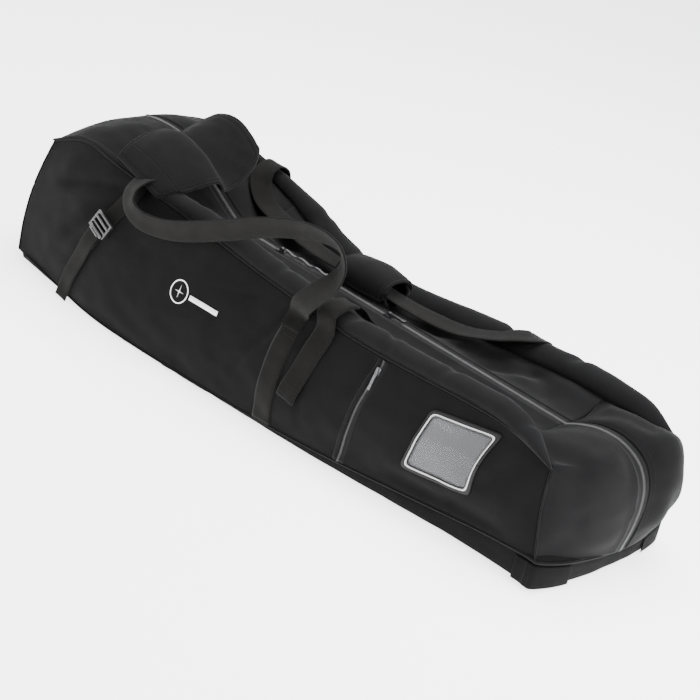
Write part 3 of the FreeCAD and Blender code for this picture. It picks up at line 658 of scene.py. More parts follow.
FOOT_ZIP = [(0.606, 0.034), (0.614, 0.075), (0.617, 0.115), (0.611, 0.15), (0.592, 0.176),
            (0.558, 0.19),
            (0.52, 0.19), (0.488, 0.181), (LID_FOOT, ZIP_Z)]


def weather(p, size, amount):
    """Slow uneven swelling of cloth."""
    return amount * noise.noise(Vector((p.x * size, p.y * size * 1.3, p.z * size * 1.5)))


def crease(p, start, end, width, depth):
    """A soft furrow between two points, fading at its ends."""
    start, end = Vector(start), Vector(end)
    run = end - start
    t = (p - start).dot(run) / run.length_squared
    if t < -0.25 or t > 1.25:
        return 0.0
    off = (p - start - run * min(max(t, 0), 1)).length / width
    if off > 3.2:
        return 0.0
    fade = math.exp(-((t - 0.5) * 1.9) ** 4)
    return -depth * fade * (1 - 0.9 * off * off) * math.exp(-off * off)


FRONT_CREASES = [
    ((-0.33, -0.17, 0.235), (-0.53, -0.19, 0.17), 0.016, 0.007),
    ((-0.33, -0.18, 0.225), (-0.46, -0.21, 0.10), 0.02, 0.006),
    ((-0.30, -0.18, 0.21), (-0.16, -0.18, 0.20), 0.02, 0.005),
    ((0.02, -0.16, 0.19), (-0.10, -0.18, 0.16), 0.015, 0.004),
    ((0.05, -0.16, 0.185), (-0.02, -0.19, 0.06), 0.013, 0.004),
    ((0.10, -0.16, 0.17), (0.13, -0.19, 0.05), 0.014, 0.003),
    ((0.50, -0.14, 0.16), (0.42, -0.16, 0.06), 0.02, 0.004),
    ((0.30, -0.17, 0.05), (0.50, -0.16, 0.06), 0.018, 0.004),
]


def front_relief(p, u, v):
    rim = ease(min(u, 1 - u) * 14) * ease(min(v, 1 - v) * 9)
    swell = 0.010 * math.sin(math.pi * v) * math.sin(math.pi * min(max(u, 0), 1)) ** 0.5
    folds = sum(crease(p, *c) for c in FRONT_CREASES)
    seam = -0.0035 * math.exp(-((p.x - pocket_line_x(p.z)) / 0.012) ** 2)
    return swell + rim * (folds + weather(p, 9, 0.0045) + weather(p, 24, 0.0016) + seam)


def pocket_line_x(z):
    """The pocket zip runs down the front from the roll to the base."""
    return POCKET_X + smooth(z, [(0.0, -0.012), (0.06, -0.006), (0.12, 0.0), (0.19, 0.006)])


POCKET_X = (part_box("pocket_zip_chain")[0].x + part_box("pocket_zip_chain")[1].x) / 2


ROLL_FOOT = {-1: 0.55, 1: 0.574}


def side_rows(side, base, low, top):
    """Rows of a side skin from its base seam up to its top seam."""
    rows = []
    for j in range(5):
        s = j / 4
        row = []
        for i in range(15):
            t = i / 14
            x_low = mix(-0.585, 0.577 if side < 0 else 0.583, t)
            x_high = mix(-0.562, ROLL_FOOT[side] - 0.003, t)
            bulge = -0.012 if i == 0 else side * 0.007 if i == 14 else 0
            x = mix(x_low, x_high, s ** 1.3) + bulge * math.sin(math.pi * s)
            z = mix(smooth(x_low, base), smooth(x_high, top), s)
            reach = half_width(x) + mix(smooth(x, low), -0.018, s ** 1.15)
            ends = ease(min(t, 1 - t) * 9)
            reach += 0.008 * math.sin(math.pi * s) * ends - 0.008 * (1 - ends) * s
            row.append((x, side * reach, z))
        rows.append(row)
    return rows


front_side = Surface(side_rows(-1, FRONT_BASE, FRONT_LOW, FRONT_TOP), front_relief, (0, -1, 0))


def back_relief(p, u, v):
    rim = ease(min(u, 1 - u) * 14) * ease(min(v, 1 - v) * 9)
    swell = 0.012 * math.sin(math.pi * v) * math.sin(math.pi * min(max(u, 0), 1)) ** 0.5
    folds = sum(crease(p, *c) for c in (
        ((-0.30, 0.16, 0.19), (-0.12, 0.18, 0.13), 0.02, 0.008),
        ((-0.16, 0.16, 0.17), (0.08, 0.18, 0.14), 0.018, 0.007),
        ((0.10, 0.16, 0.16), (0.30, 0.17, 0.12), 0.02, 0.006),
        ((-0.33, 0.18, 0.18), (-0.40, 0.2, 0.06), 0.02, 0.005),
        ((0.30, 0.16, 0.17), (0.36, 0.17, 0.06), 0.018, 0.005),
        ((0.47, 0.15, 0.17), (0.56, 0.16, 0.1), 0.02, 0.006)))
    return swell + rim * (folds + weather(p, 9, 0.005) + weather(p, 24, 0.0016))


back_side = Surface(side_rows(1, BACK_BASE, BACK_LOW, BACK_TOP), back_relief, (0, 1, 0))

ROLL_SHAPE = [(0.019, -0.002), (0.0175, 0.010), (0.026, 0.020), (0.041, 0.024), (0.055, 0.017),
              (0.064, 0.002),
              (0.062, -0.008)]


def roll_slim(x, side):
    """How full an edge roll is: slight at the head, full along the lids, closing at the foot."""
    head = mix(0.20, 1.0, ease((x + 0.53) / 0.42)) * mix(0.3, 1.0, ease((x + 0.574) / 0.04))
    return head * mix(0.06, 1.0, ease((ROLL_FOOT[side] - x) / 0.075))


def roll_rows(side, top, x_head, x_foot):
    """Rows of a padded edge roll, from the side's seam over the crest to the top panel."""
    rows = []
    for inset, lift in ROLL_SHAPE:
        row = []
        for i in range(23):
            t = i / 22
            x = mix(x_head, x_foot, t)
            z = smooth(x, top)
            slim = roll_slim(x, side)
            y = half_width(x) - mix(0.02, inset, slim)
            row.append((x, side * y, z + lift * slim))
        rows.append(row)
    return rows


def front_roll_relief(p, u, v):
    pinches = sum(crease(p, (x, -0.16, z), (x + lean, -0.09, z + 0.02), 0.012, depth)
                  for x, z, lean, depth in ((0.235, 0.205, -0.03, 0.005), (0.32, 0.21, 0.03, 0.003),
                                            (0.47, 0.205, 0.03, 0.005), (-0.02, 0.22, 0.02, 0.003),
                                            (-0.2, 0.235, -0.03, 0.003), (0.13, 0.21, 0.03, 0.004)))
    return (pinches + weather(p, 16, 0.003)) * math.sin(math.pi * v)


def back_roll_relief(p, u, v):
    pinches = sum(crease(p, (x, 0.16, z), (x + lean, 0.09, z + 0.02), 0.014, depth)
                  for x, z, lean, depth in ((0.24, 0.19, 0.03, 0.005), (0.40, 0.21, -0.03, 0.004),
                                            (-0.2, 0.19, 0.03, 0.006), (-0.1, 0.17, 0.04, 0.004)))
    return (pinches + weather(p, 14, 0.004)) * math.sin(math.pi * v)


front_roll = Surface(roll_rows(-1, FRONT_TOP, -0.562, ROLL_FOOT[-1]), front_roll_relief, (0, 0, 1))
back_roll = Surface(roll_rows(1, BACK_TOP, -0.562, ROLL_FOOT[1]), back_roll_relief, (0, 0, 1))


def roll_inner(x, side):
    """Where a top panel meets its roll."""
    top = FRONT_TOP if side < 0 else BACK_TOP
    slim = roll_slim(x, side)
    return Vector((x, side * (half_width(x) - mix(0.02, 0.061, slim)),
                   smooth(x, top) - 0.004 * slim))


def tape_edge(x, z, side):
    return Vector((x, ZIP_Y + side * (CHAIN_HALF + TAPE - 0.002), z + 0.0022))


def lid_rows(side):
    """Rows of a top panel, from its roll down into the valley and to the zip tape."""
    rows = []
    for j, (share, dip) in enumerate(((0, 0), (0.22, 0.3), (0.48, 0.9), (0.75, 0.8), (1, 0))):
        row = []
        for i in range(13):
            x = mix(LID_HEAD, LID_FOOT, i / 12)
            p = roll_inner(x, side).lerp(tape_edge(x, ZIP_Z, side), share)
            sag = 0.014 if side < 0 else 0.008
            p.z -= dip * sag
            row.append(p)
        rows.append(row)
    return rows


def lid_relief(p, u, v):
    rim = ease(min(u, 1 - u) * 12) * math.sin(math.pi * v) ** 0.6
    folds = sum(crease(p, *c) for c in (
        ((0.40, 0.05, 0.19), (0.30, 0.1, 0.18), 0.02, 0.008),
        ((0.26, 0.04, 0.17), (0.36, 0.09, 0.18), 0.016, 0.006),
        ((0.12, 0.04, 0.165), (0.2, 0.1, 0.165), 0.02, 0.008),
        ((-0.1, 0.03, 0.16), (0.0, 0.09, 0.15), 0.02, 0.007),
        ((-0.2, 0.04, 0.17), (-0.14, 0.1, 0.17), 0.018, 0.007),
        ((0.3, -0.08, 0.18), (0.4, -0.03, 0.17), 0.02, 0.006),
        ((0.0, -0.09, 0.19), (0.1, -0.03, 0.17), 0.02, 0.006),
        ((-0.2, -0.09, 0.2), (-0.1, -0.03, 0.17), 0.02, 0.006)))
    return rim * (folds + weather(p, 13, 0.006) + weather(p, 33, 0.002))


front_top = Surface(lid_rows(-1), lid_relief, (0, 0, 1))
back_top = Surface(lid_rows(1), lid_relief, (0, 0, 1))


def head_rows(side):
    """Rows of the fixed top at the head end, from its roll to the zip tape."""
    rows = []
    for share, lift in ((0, 0), (0.3, 0.006), (0.65, 0.008), (1, 0)):
        row = []
        for i in range(11):
            x = mix(-0.56, LID_HEAD, i / 10)
            p = roll_inner(x, side).lerp(tape_edge(x, smooth(x, ZIP_LINE), side), share)
            past = ease((LID_HEAD - x) / 0.1)
            p.z += lift * past - (1 - abs(2 * share - 1)) * 0.011 * (1 - past)
            row.append(p)
        rows.append(row)
    return rows


def head_relief(p, u, v):
    rim = ease(min(u, 1 - u) * 10) * math.sin(math.pi * v) ** 0.6
    return rim * (weather(p, 12, 0.005) + weather(p, 30, 0.0018))


head_front = Surface(head_rows(-1), head_relief, (0, 0, 1))
head_back = Surface(head_rows(1), head_relief, (0, 0, 1))


def head_crest():
    """The line over the top of the head end, from the front side's seam to the back's."""
    front = [front_side.at(0, 1)] + [front_roll.at(0, v) for v in (0.4, 1.0)]
    front += [head_front.at(0, v) for v in (0.25, 0.5, 0.75, 1.0)]
    back = [back_side.at(0, 1)] + [back_roll.at(0, v) for v in (0.4, 1.0)]
    back += [head_back.at(0, v) for v in (0.25, 0.5, 0.75, 1.0)]
    line = even_line(front + back[::-1], 0.004)
    return [line[round(i / 12 * (len(line) - 1))] for i in range(13)]


def head_end_rows():
    """Rows of the head end, from its top edge down to the base, between the sides' own edges."""
    top = head_crest()
    rows = []
    for share, bulge, keep in ((1.0, 0.0, 1.0), (0.93, 0.013, 0.75), (0.78, 0.026, 0.3),
                               (0.52, 0.033, 0.0),
                               (0.25, 0.026, 0.0), (0.0, 0.010, 0.0)):
        left, right = front_side.at(0, share), back_side.at(0, share)
        row = []
        for i in range(13):
            t = i / 12
            p = left.lerp(right, t)
            p.x -= bulge * (1 - abs(2 * t - 1) ** 3.2)
            flat = top[0].lerp(top[-1], t)
            p.z += (top[i].z - flat.z) * keep
            if share == 1.0:
                p = top[i]
            row.append(p)
        rows.append(row)
    return rows


def end_relief(p, u, v):
    rim = ease(min(u, 1 - u) * 10) * ease(min(v, 1 - v) * 8)
    return rim * (weather(p, 12, 0.006) + weather(p, 30, 0.0018))


head_end = Surface(head_end_rows(), end_relief, (-1, 0, 0))


def foot_rows(side):
    """Rows of a foot end half, from the corner seam to the zip tape, bottom to top."""
    flank, roll = (front_side, front_roll) if side < 0 else (back_side, back_roll)
    corner = [flank.at(1, v) for v in (0.0, 0.36, 0.74)] + [flank.at(1, 1).lerp(roll.at(1, 0.5),
            0.5)]
    corner += [roll.at((x + 0.562) / (ROLL_FOOT[side] + 0.562), 1) for x in (0.532, 0.497)]
    middle = [FOOT_ZIP[0], FOOT_ZIP[1], (0.614, 0.138), (0.596, 0.172), (0.560, 0.19),
              (0.512, 0.188)]
    grow = [0.004, 0.012, 0.016, 0.016, 0.012, 0.004] if side < 0 else [0.008, 0.024, 0.034,
            0.036, 0.028, 0.012]
    rows = []
    for j in range(7):
        if j < 6:
            edge = corner[j]
            at_zip = Vector((middle[j][0], ZIP_Y + side * (CHAIN_HALF + TAPE - 0.002),
                             middle[j][1]))
            if j > 2:
                at_zip.z += 0.0022
            else:
                at_zip.x += 0.0018
        else:
            edge = roll_inner(LID_FOOT, side)
            at_zip = tape_edge(LID_FOOT, ZIP_Z, side)
        row = []
        for i, share in enumerate((0, 0.2, 0.45, 0.72, 1)):
            p = edge.lerp(at_zip, share)
            bulge = math.sin(math.pi * share) * (grow[j] if j < 6 else -0.012)
            if j < 3:
                p.x += bulge
                if j == 0:
                    p.z -= 0.010 * share * (1 - share) * 4 * 0.4
            elif j < 5:
                p += Vector((0.75, 0, 0.65)) * bulge
            else:
                p.z += bulge
            row.append(p)
        rows.append(row)
    return rows


def foot_front_relief(p, u, v):
    rim = ease(min(u, 1 - u) * 8) * ease(min(v, 1 - v) * 8)
    folds = sum(crease(p, *c) for c in (
        ((0.52, -0.12, 0.2), (0.585, -0.085, 0.185), 0.022, 0.006),
        ((0.59, -0.15, 0.13), (0.60, -0.09, 0.11), 0.02, 0.004),
        ((0.595, -0.14, 0.06), (0.612, -0.09, 0.09), 0.024, 0.004)))
    return rim * (folds + weather(p, 10, 0.004) + weather(p, 26, 0.0010))


def foot_back_relief(p, u, v):
    rim = ease(min(u, 1 - u) * 8) * ease(min(v, 1 - v) * 8)
    folds = sum(crease(p, *c) for c in (
        ((0.49, 0.055, 0.19), (0.575, 0.07, 0.2), 0.022, 0.010),
        ((0.575, 0.07, 0.19), (0.62, 0.075, 0.12), 0.020, 0.010),
        ((0.62, 0.075, 0.12), (0.615, 0.1, 0.06), 0.022, 0.006),
        ((0.57, 0.15, 0.18), (0.61, 0.11, 0.13), 0.026, 0.007)))
    return rim * (folds + weather(p, 11, 0.005) + weather(p, 28, 0.0012))


foot_front = Surface(foot_rows(-1), foot_front_relief, (1, 0, 0.5))
foot_back = Surface(foot_rows(1), foot_back_relief, (1, 0, 0.5))


# ---------------------------------------------------------------- the padded shell

skin("front_side_skin", front_side, 230, 60, "case", "body_cloth", BODY,
     ("front_side_panel", "front_side_foam", "front_side_lining"))
skin("back_side_skin", back_side, 200, 52, "case", "body_cloth", BODY,
     ("back_side_panel", "back_side_foam", "back_side_lining"))
skin("front_roll_pad", front_roll, 230, 20, "case", "body_cloth", GUSSET, ("front_edge_roll",),
     thickness=0.004)
skin("back_roll_pad", back_roll, 200, 20, "case", "body_cloth", GUSSET, ("back_edge_roll",),
     thickness=0.004)
skin("head_top_front_skin", head_front, 60, 30, "case", "body_cloth", GUSSET,
     ("head_top_panel_front",))
skin("head_top_back_skin", head_back, 60, 30, "case", "body_cloth", GUSSET,
     ("head_top_panel_back",))
skin("head_end_skin", head_end, 60, 50, "case", "body_cloth", BODY, ("head_end_panel",))
skin("foot_front_skin", foot_front, 44, 70, "case", "body_cloth", GUSSET, ("foot_end_panel_front",))
skin("foot_back_skin", foot_back, 44, 70, "case", "body_cloth", GUSSET, ("foot_end_panel_back",))


def lid_blend(side):
    """From the roll, square to the hinge, to where the panel moves with its lid."""
    start = roll_inner(0.1, side)
    ahead = (roll_inner(0.4, side) - roll_inner(-0.2, side)).normalized()
    across = Vector((-ahead.y, ahead.x, 0)) * (-side)
    return start, start + across * 0.03


for side, word, surface in ((-1, "front", front_top), (1, "back", back_top)):
    start, end = lid_blend(side)
    skin(word + "_top_skin", surface, 150, 30, None, "body_cloth", GUSSET, (word + "_top_panel",),
         thickness=0.005, blend=("case", word + "_lid", start, end))


# ---------------------------------------------------------------- base


BASE_WALL = 0.003  # thickness of the base shell


def base_outline():
    """Points round the base's seam: x, y and the seam's height."""
    points = []
    for x in (-0.56, -0.47, -0.34, -0.2, -0.05, 0.1, 0.23, 0.37, 0.48, 0.555):
        points.append((x, -(half_width(x) + smooth(x, FRONT_LOW)), smooth(x, FRONT_BASE)))
    points += [(0.571, -0.1555, 0.050), (0.5835, -0.149, 0.048), (0.5975, -0.1, 0.042),
               (0.603, -0.02, 0.034), (0.601, 0.06, 0.031),
               (0.595, 0.12, 0.04), (0.584, 0.148, 0.054)]
    for x in (0.555, 0.45, 0.3, 0.1, -0.1, -0.3, -0.45, -0.555):
        points.append((x, half_width(x) + smooth(x, BACK_LOW), smooth(x, BACK_BASE)))
    points += [(-0.583, 0.172, 0.017), (-0.592, 0.1, 0.014), (-0.594, 0.0, 0.013),
               (-0.592, -0.1, 0.013),
               (-0.584, -0.172, 0.014)]
    return [Vector(p) for p in points]


def round_loop(points, t):
    """A point of the smooth closed line through points."""
    count = len(points)
    place = (t % 1.0) * count
    i = int(place)
    f = place - i
    p0, p1, p2, p3 = (points[(i + k) % count] for k in (-1, 0, 1, 2))
    return (p1 * 2 + (p2 - p0) * f + (p0 * 2 - p1 * 5 + p2 * 4 - p3) * f * f
            + (p1 * 3 - p0 - p2 * 3 + p3) * f * f * f) * 0.5


BASE_POINTS = base_outline()


def base_ring(steps):
    """Seam points round the base with their outward directions."""
    line = [round_loop(BASE_POINTS, i / steps) for i in range(steps)]
    out = []
    for i, p in enumerate(line):
        run = line[(i + 1) % steps] - line[i - 1]
        out.append((p, Vector((run.y, -run.x, 0)).normalized()))
    return out


def make_base():
    ring = base_ring(420)
    # inset, then share of the seam's height, then extra height
    shape = [(0.010, 1, 0.010), (0.004, 1, 0.004), (0.002, 1, -0.002), (0.001, 0.72, 0),
             (0.0025, 0.4, 0),
             (0.003, 0.14, 0.001), (0.008, 0.0, 0.0012), (0.02, 0.0, 0.0004), (0.05, 0.0, 0.0006)]
    grid = []
    for inset, share, extra in shape:
        line = []
        for p, out in ring:
            q = p - out * inset
            ripple = weather(p, 22, 0.002) if 0 < share < 1 else 0
            line.append(Vector((q.x, q.y, max(p.z * share + extra,
                                              BASE_WALL + 0.0004))) + out * ripple)
        grid.append(line)
    for share in (0.6, 0.25):
        grid.append([Vector((p.x * share, p.y * share, BASE_WALL + 0.0006)) for p in grid[8]])
    mesh = grid_mesh("base_shell", grid, closed=True)
    bm = bmesh.new()
    bm.from_mesh(mesh)
    bm.verts.ensure_lookup_table()
    bm.faces.new([bm.verts[len(ring) * (len(grid) - 1) + i] for i in range(len(ring))])
    bmesh.ops.recalc_face_normals(bm, faces=bm.faces)
    bm.normal_update()
    if sum(f.normal.z * f.calc_area() for f in bm.faces if f.calc_center_median().z < 0.002) < 0:
        bmesh.ops.reverse_faces(bm, faces=bm.faces)
    bm.to_mesh(mesh)
    bm.free()
    shade_smooth(mesh)
    obj = new_object("base_shell", mesh)
    add_wall(obj, BASE_WALL)
    place(obj, "case", "base_cloth", BASE,
          ("base_skin", "base_board", "base_band_front", "base_band_foot", "base_band_back",
           "base_band_head"))
    welt = [p + out * 0.0005 + Vector((0, 0, 0.0005)) for p, out in ring]
    tube("base_seam_welt", welt[::6] + [welt[0]], 0.0018, "case", "base_cloth", BINDING, sides=8)


make_base()


def make_floor_pad():
    """The quilted pad inside, on the stiff board."""
    low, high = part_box("floor_pad")
    lines, columns = 40, 150
    grid = []
    for j in range(lines + 1):
        t = j / lines * 2 - 1
        line = []
        for i in range(columns + 1):
            s = i / columns * 2 - 1
            x = mix(low.x + 0.012, high.x - 0.012, (s + 1) / 2)
            y = t * (half_width(x) - 0.024)
            quilt = abs(math.sin((x + y) * 42)) ** 0.4 * abs(math.sin((x - y) * 42)) ** 0.4
            edge = 1 - max(abs(s) ** 40, abs(t) ** 16)
            line.append(Vector((x, y, mix(low.z + 0.002, high.z - 0.004,
                                          edge) + 0.004 * quilt * edge)))
        grid.append(line)
    mesh = grid_mesh("floor_cushion", grid)
    obj = new_object("floor_cushion", mesh)
    add_wall(obj, 0.004)
    place(obj, "case", "lining_cloth", LINING, ("floor_pad",), padded=0.4)


make_floor_pad()


# ---------------------------------------------------------------- places on the sides


def on_side(surface, x, z):
    """The u and v of a side surface at x and z."""
    u, v = min(max((x + 0.585) / 1.168, 0), 1), 0.5
    for step in range(6):
        p = surface.flat(u, v)
        u = min(max(u + (x - p.x) / 1.16, 0), 1)
        v = min(max(v + (z - p.z) / 0.2, 0), 1)
    return u, v


def side_point(surface, x, z, lift=0.0):
    return surface.at(*on_side(surface, x, z), lift)


def laid_grid(name, surface, grid, thickness):
    """A thin layer sewn or printed on a side, from a grid of (x, z, lift) places."""
    points = [[side_point(surface, *spot) for spot in line] for line in grid]
    mesh = grid_mesh(name, points)
    middle = mesh.polygons[len(mesh.polygons) // 2]
    if middle.normal.dot(Vector((0, 1 if surface is back_side else -1, 0))) < 0:
        mesh = grid_mesh(name, points, flip=True)
    obj = new_object(name, mesh)
    add_wall(obj, thickness)
    return obj


def laid_strip(line, width, lift, across=8, spacing=0.006):
    """Grid places for a band of webbing along (x, z) points."""
    path = even_line([(x, 0, z) for x, z in line], spacing)
    grid = []
    for i, p in enumerate(path):
        ahead = (path[min(i + 1, len(path) - 1)] - path[max(i - 1, 0)]).normalized()
        row = []
        for k in range(across + 1):
            share = (k / across - 0.5) * width
            row.append((p.x + ahead.z * share, p.z - ahead.x * share,
                        lift * (0.5 if k in (0, across) else 1)))
        grid.append(row)
    return grid


def side_stitches(name, surface, line, body, lift=0.0012, size=STITCH, spacing=0.0042):
    """A row of stitches along (x, z) places on a side."""
    spots = even_line([(x, 0, z) for x, z in line], spacing)
    points, normals = [], []
    for p in spots:
        u, v = on_side(surface, p.x, p.z)
        points.append(surface.at(u, v, lift))
        normals.append(surface.normal(u, v))
    return stitches(name, points, normals, body, size=size)


# ---------------------------------------------------------------- seams


def edge_line(surface, u_of, v_of, spacing=0.012, lift=0.0006):
    return surface_line(surface, u_of, v_of, spacing, lift)[0]


TOP_WELT, CORNER_WELT = 0.0019, 0.0017
for word, surface in (("front", front_side), ("back", back_side)):
    tube(word + "_top_welt", edge_line(surface, lambda t: t, lambda t: 1.0), TOP_WELT, "case",
         "body_cloth", BINDING, sides=8)
for word, surface, edge in (("front", front_side, 0.0), ("front_foot", front_side, 1.0),
                            ("back", back_side, 0.0),
                            ("back_foot", back_side, 1.0)):
    tube(word + "_corner_welt", edge_line(surface, lambda t, e=edge: e, lambda t: t), CORNER_WELT,
         "case", "body_cloth",
         BINDING, sides=8)
for word, surface in (("front", front_side), ("back", back_side)):
    for row, v in enumerate((0.972, 0.035)):
        seam_stitches(word + "_seam_stitches_" + str(row), surface, lambda t: mix(0.012, 0.988, t),
                      lambda t, v=v: v, 0.0002)
for word, surface in (("front", front_roll), ("back", back_roll)):
    seam_stitches(word + "_roll_stitches", surface, lambda t: mix(0.05, 0.95, t),
                  lambda t: 0.93, 0.0003)


# ---------------------------------------------------------------- main zip


def zip_path(knots):
    """The coil's middle line where it bends over an end, as points in the bag's middle."""
    return [Vector((x, ZIP_Y, z)) for x, z in knots]


def zip_up(line, i):
    ahead = (line[min(i + 1, len(line) - 1)] - line[max(i - 1, 0)]).normalized()
    up = Vector((0, 1, 0)).cross(ahead)
    if up.dot(Vector((line[i].x * 0.6, 0, 1))) < 0:
        up.negate()
    return ahead, up.normalized()


def coil(name, line, body, stands_for):
    """Two interlocked rows of coil teeth along a line."""
    spots = even_line(line, 0.0015)
    places = []
    for i, p in enumerate(spots):
        ahead, up = zip_up(spots, i)
        side = 1 if i % 2 else -1
        places.append((p + Vector((0, side * 0.0012, 0)) + up * 0.0006,
                       Vector((0, 1, 0.0)) + ahead * 0.12 * side, up))
    return beads(name, places, (0.0062, 0.0014, 0.0030), COIL, body, "zip_chain", stands_for)


def tape(name, line, side, body, stands_for=(), lift=0.0):
    """A zip tape beside the coil, half under the cloth's edge."""
    spots = even_line(line, 0.008)
    stations = []
    for i, p in enumerate(spots):
        up = zip_up(spots, i)[1]
        stations.append((p + Vector((0, side * (CHAIN_HALF + TAPE / 2 - 0.001), 0)) + up * lift,
                         (0, 1, 0)))
    return band(name, stations, TAPE + 0.003, 0.0012, body, ZIP_TAPE, stands_for, slot="zip_tape")


lid_line = [Vector((mix(LID_HEAD, LID_FOOT, i / 12), ZIP_Y, ZIP_Z)) for i in range(13)]
head_line = zip_path(ZIP_LINE)
foot_line = zip_path(FOOT_ZIP)
coil("main_coil", lid_line, "front_lid", ("main_zip_chain",))
coil("head_coil", head_line, "case", ("head_zip_chain",))
coil("foot_coil", foot_line, "case", ("foot_zip_chain",))
tape("main_tape_front", lid_line, -1, "front_lid", ("front_zip_tape",))
tape("main_tape_back", lid_line, 1, "back_lid", ("back_zip_tape",))
for word, line, nodes in (("head", head_line, ("head_zip_tapes",)),
                          ("foot", foot_line, ("foot_zip_tapes",))):
    tape(word + "_tape_front", line, -1, "case", nodes)
    tape(word + "_tape_back", line, 1, "case")

for body, surface in (("front_lid", front_top), ("back_lid", back_top)):
    for row, v in enumerate((0.985, 0.945)):
        seam_stitches(body + "_tape_stitches_" + str(row), surface, lambda t: t,
                      lambda t, v=v: v, 0.0004, body)
for word, surface in (("head_front", head_front), ("head_back", head_back)):
    seam_stitches(word + "_tape_stitches", surface, lambda t: t, lambda t: 0.96, 0.0004)
for word, surface in (("foot_front", foot_front), ("foot_back", foot_back)):
    for row, u in enumerate((0.975, 0.93)):
        seam_stitches(word + "_tape_stitches_" + str(row), surface, lambda t, u=u: u,
                      lambda t: t, 0.0004)


# ---------------------------------------------------------------- hard pieces made of rounded bars


def bars(name, origin, axes, shapes, body, slot, finish, stands_for=(), bevel=0.0006):
    """One moulded piece from bars, each a middle and a size along three axes."""
    bm = bmesh.new()
    x, y, z = (Vector(a).normalized() for a in axes)
    for middle, size in shapes:
        made = bmesh.ops.create_cube(bm, size=1.0)["verts"]
        for vert in made:
            local = Vector(middle) + Vector([vert.co[k] * size[k] for k in range(3)])
            vert.co = Vector(origin) + x * local.x + y * local.y + z * local.z
    bmesh.ops.recalc_face_normals(bm, faces=bm.faces)
    mesh = bpy.data.meshes.new(name)
    bm.to_mesh(mesh)
    bm.free()
    obj = new_object(name, mesh)
    soften = obj.modifiers.new("Rounding", "BEVEL")
    soften.width = bevel
    soften.segments = 2
    return place(obj, body, slot, finish, stands_for)


# ---------------------------------------------------------------- front pocket


def make_pocket_zip():
    line = [(pocket_line_x(z), z) for z in (0.022, 0.05, 0.08, 0.11, 0.14, 0.17, 0.192)]
    spots = even_line([(x, 0, z) for x, z in line], 0.0014)
    places = []
    for i, spot in enumerate(spots):
        u, v = on_side(front_side, spot.x, spot.z)
        out = front_side.normal(u, v)
        ahead = (spots[min(i + 1, len(spots) - 1)] - spots[max(i - 1, 0)]).normalized()
        side = 1 if i % 2 else -1
        places.append((front_side.at(u, v, 0.0014) + Vector((side * 0.0008, 0, 0)),
                       Vector((1, 0, 0)) + ahead * 0.1 * side, out))
    beads("pocket_coil", places, (0.0048, 0.0013, 0.0024), COIL, "case", "zip_chain",
          ("pocket_zip_chain",))
    for word, side in (("head", -1), ("foot", 1)):
        shifted = [(x + side * 0.007, z) for x, z in line]
        obj = laid_grid("pocket_tape_" + word, front_side, laid_strip(shifted, 0.008, 0.0012, 4),
                        0.0009)
        place(obj, "case", "zip_tape", ZIP_TAPE, ("pocket_zip_tapes",) if side < 0 else ())
        for row, off in enumerate((0.0115, 0.0145)):
            side_stitches("pocket_stitches_" + word + str(row), front_side,
                          [(x + side * off, z) for x, z in line],
                          "case", 0.0005)
    low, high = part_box("pocket_slider")
    top = (low.z + high.z) / 2 + 0.010
    u, v = on_side(front_side, pocket_line_x(top), top)
    out = front_side.normal(u, v)
    down = Vector((0, -0.22, -0.975))
    down = (down - out * down.dot(out)).normalized()
    across = out.cross(down)
    origin = front_side.at(u, v, 0.0034)
    bars("pocket_slider_body", origin, (down, across, out),
         [((0, 0, 0), (0.011, 0.0085, 0.0016)), ((-0.002, 0, 0.0014), (0.005, 0.0024, 0.003)),
          ((0.003, 0, 0.002), (0.006, 0.002, 0.0014))], "pocket_slider", "metal_dark", METAL,
          ("pocket_slider",), 0.0005)
    shapes = [((0.004, 0.0018, 0.003), (0.008, 0.0012, 0.0012)),
              ((0.004, -0.0018, 0.003), (0.008, 0.0012, 0.0012)),
              ((0.0078, 0, 0.003), (0.0016, 0.0048, 0.0014))]
    shapes += [((0.011 + 0.0056 * i, 0, 0.0028 - 0.0001 * i),
                (0.0052, 0.0046 + 0.0006 * (i % 2), 0.0022))
               for i in range(4)]
    bars("pocket_pull_tab", origin, (down, across, out), shapes, "pocket_pull", "metal_dark",
         METAL, ("pocket_pull",),
         0.0005)


make_pocket_zip()


def make_pouch():
    """The cloth pocket behind the front zip: a flat sack against the lining."""
    low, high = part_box("pocket_pouch")
    rings, sides = [], 40
    for j in range(15):
        t = j / 14
        full = max(math.sin(math.pi * mix(0.03, 0.97, t)), 0.0) ** 0.25
        z = mix(low.z, high.z, t)
        ring = []
        for k in range(sides):
            a = 2 * math.pi * k / sides
            c, s = math.cos(a), math.sin(a)
            x = mix(low.x, high.x, 0.5 + 0.5 * math.copysign(abs(c) ** 0.5, c) * full)
            back = side_point(front_side, x, z).y + 0.014
            y = back + 0.006 * full + 0.006 * full * math.copysign(abs(s) ** 0.7, s)
            ring.append(Vector((x, y + 0.001 * math.sin(x * 90 + z * 50), z)))
        rings.append(ring)
    mesh = grid_mesh("pocket_sack", rings, closed=True)
    close_ends(mesh, sides, len(rings))
    place(new_object("pocket_sack", mesh), "case", "lining_cloth", LINING, ("pocket_pouch",),
          padded=0.2)


make_pouch()


# ---------------------------------------------------------------- card window


def window_corners():
    """The frame's box, pushed out and up by the full panel, most of all at its top foot corner."""
    low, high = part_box("id_window_frame")
    return ((low.x - 0.012, low.z - 0.005), (high.x - 0.005, low.z + 0.009),
            (low.x + 0.007, high.z + 0.005), (high.x + 0.010, high.z + 0.022))


WINDOW = window_corners()


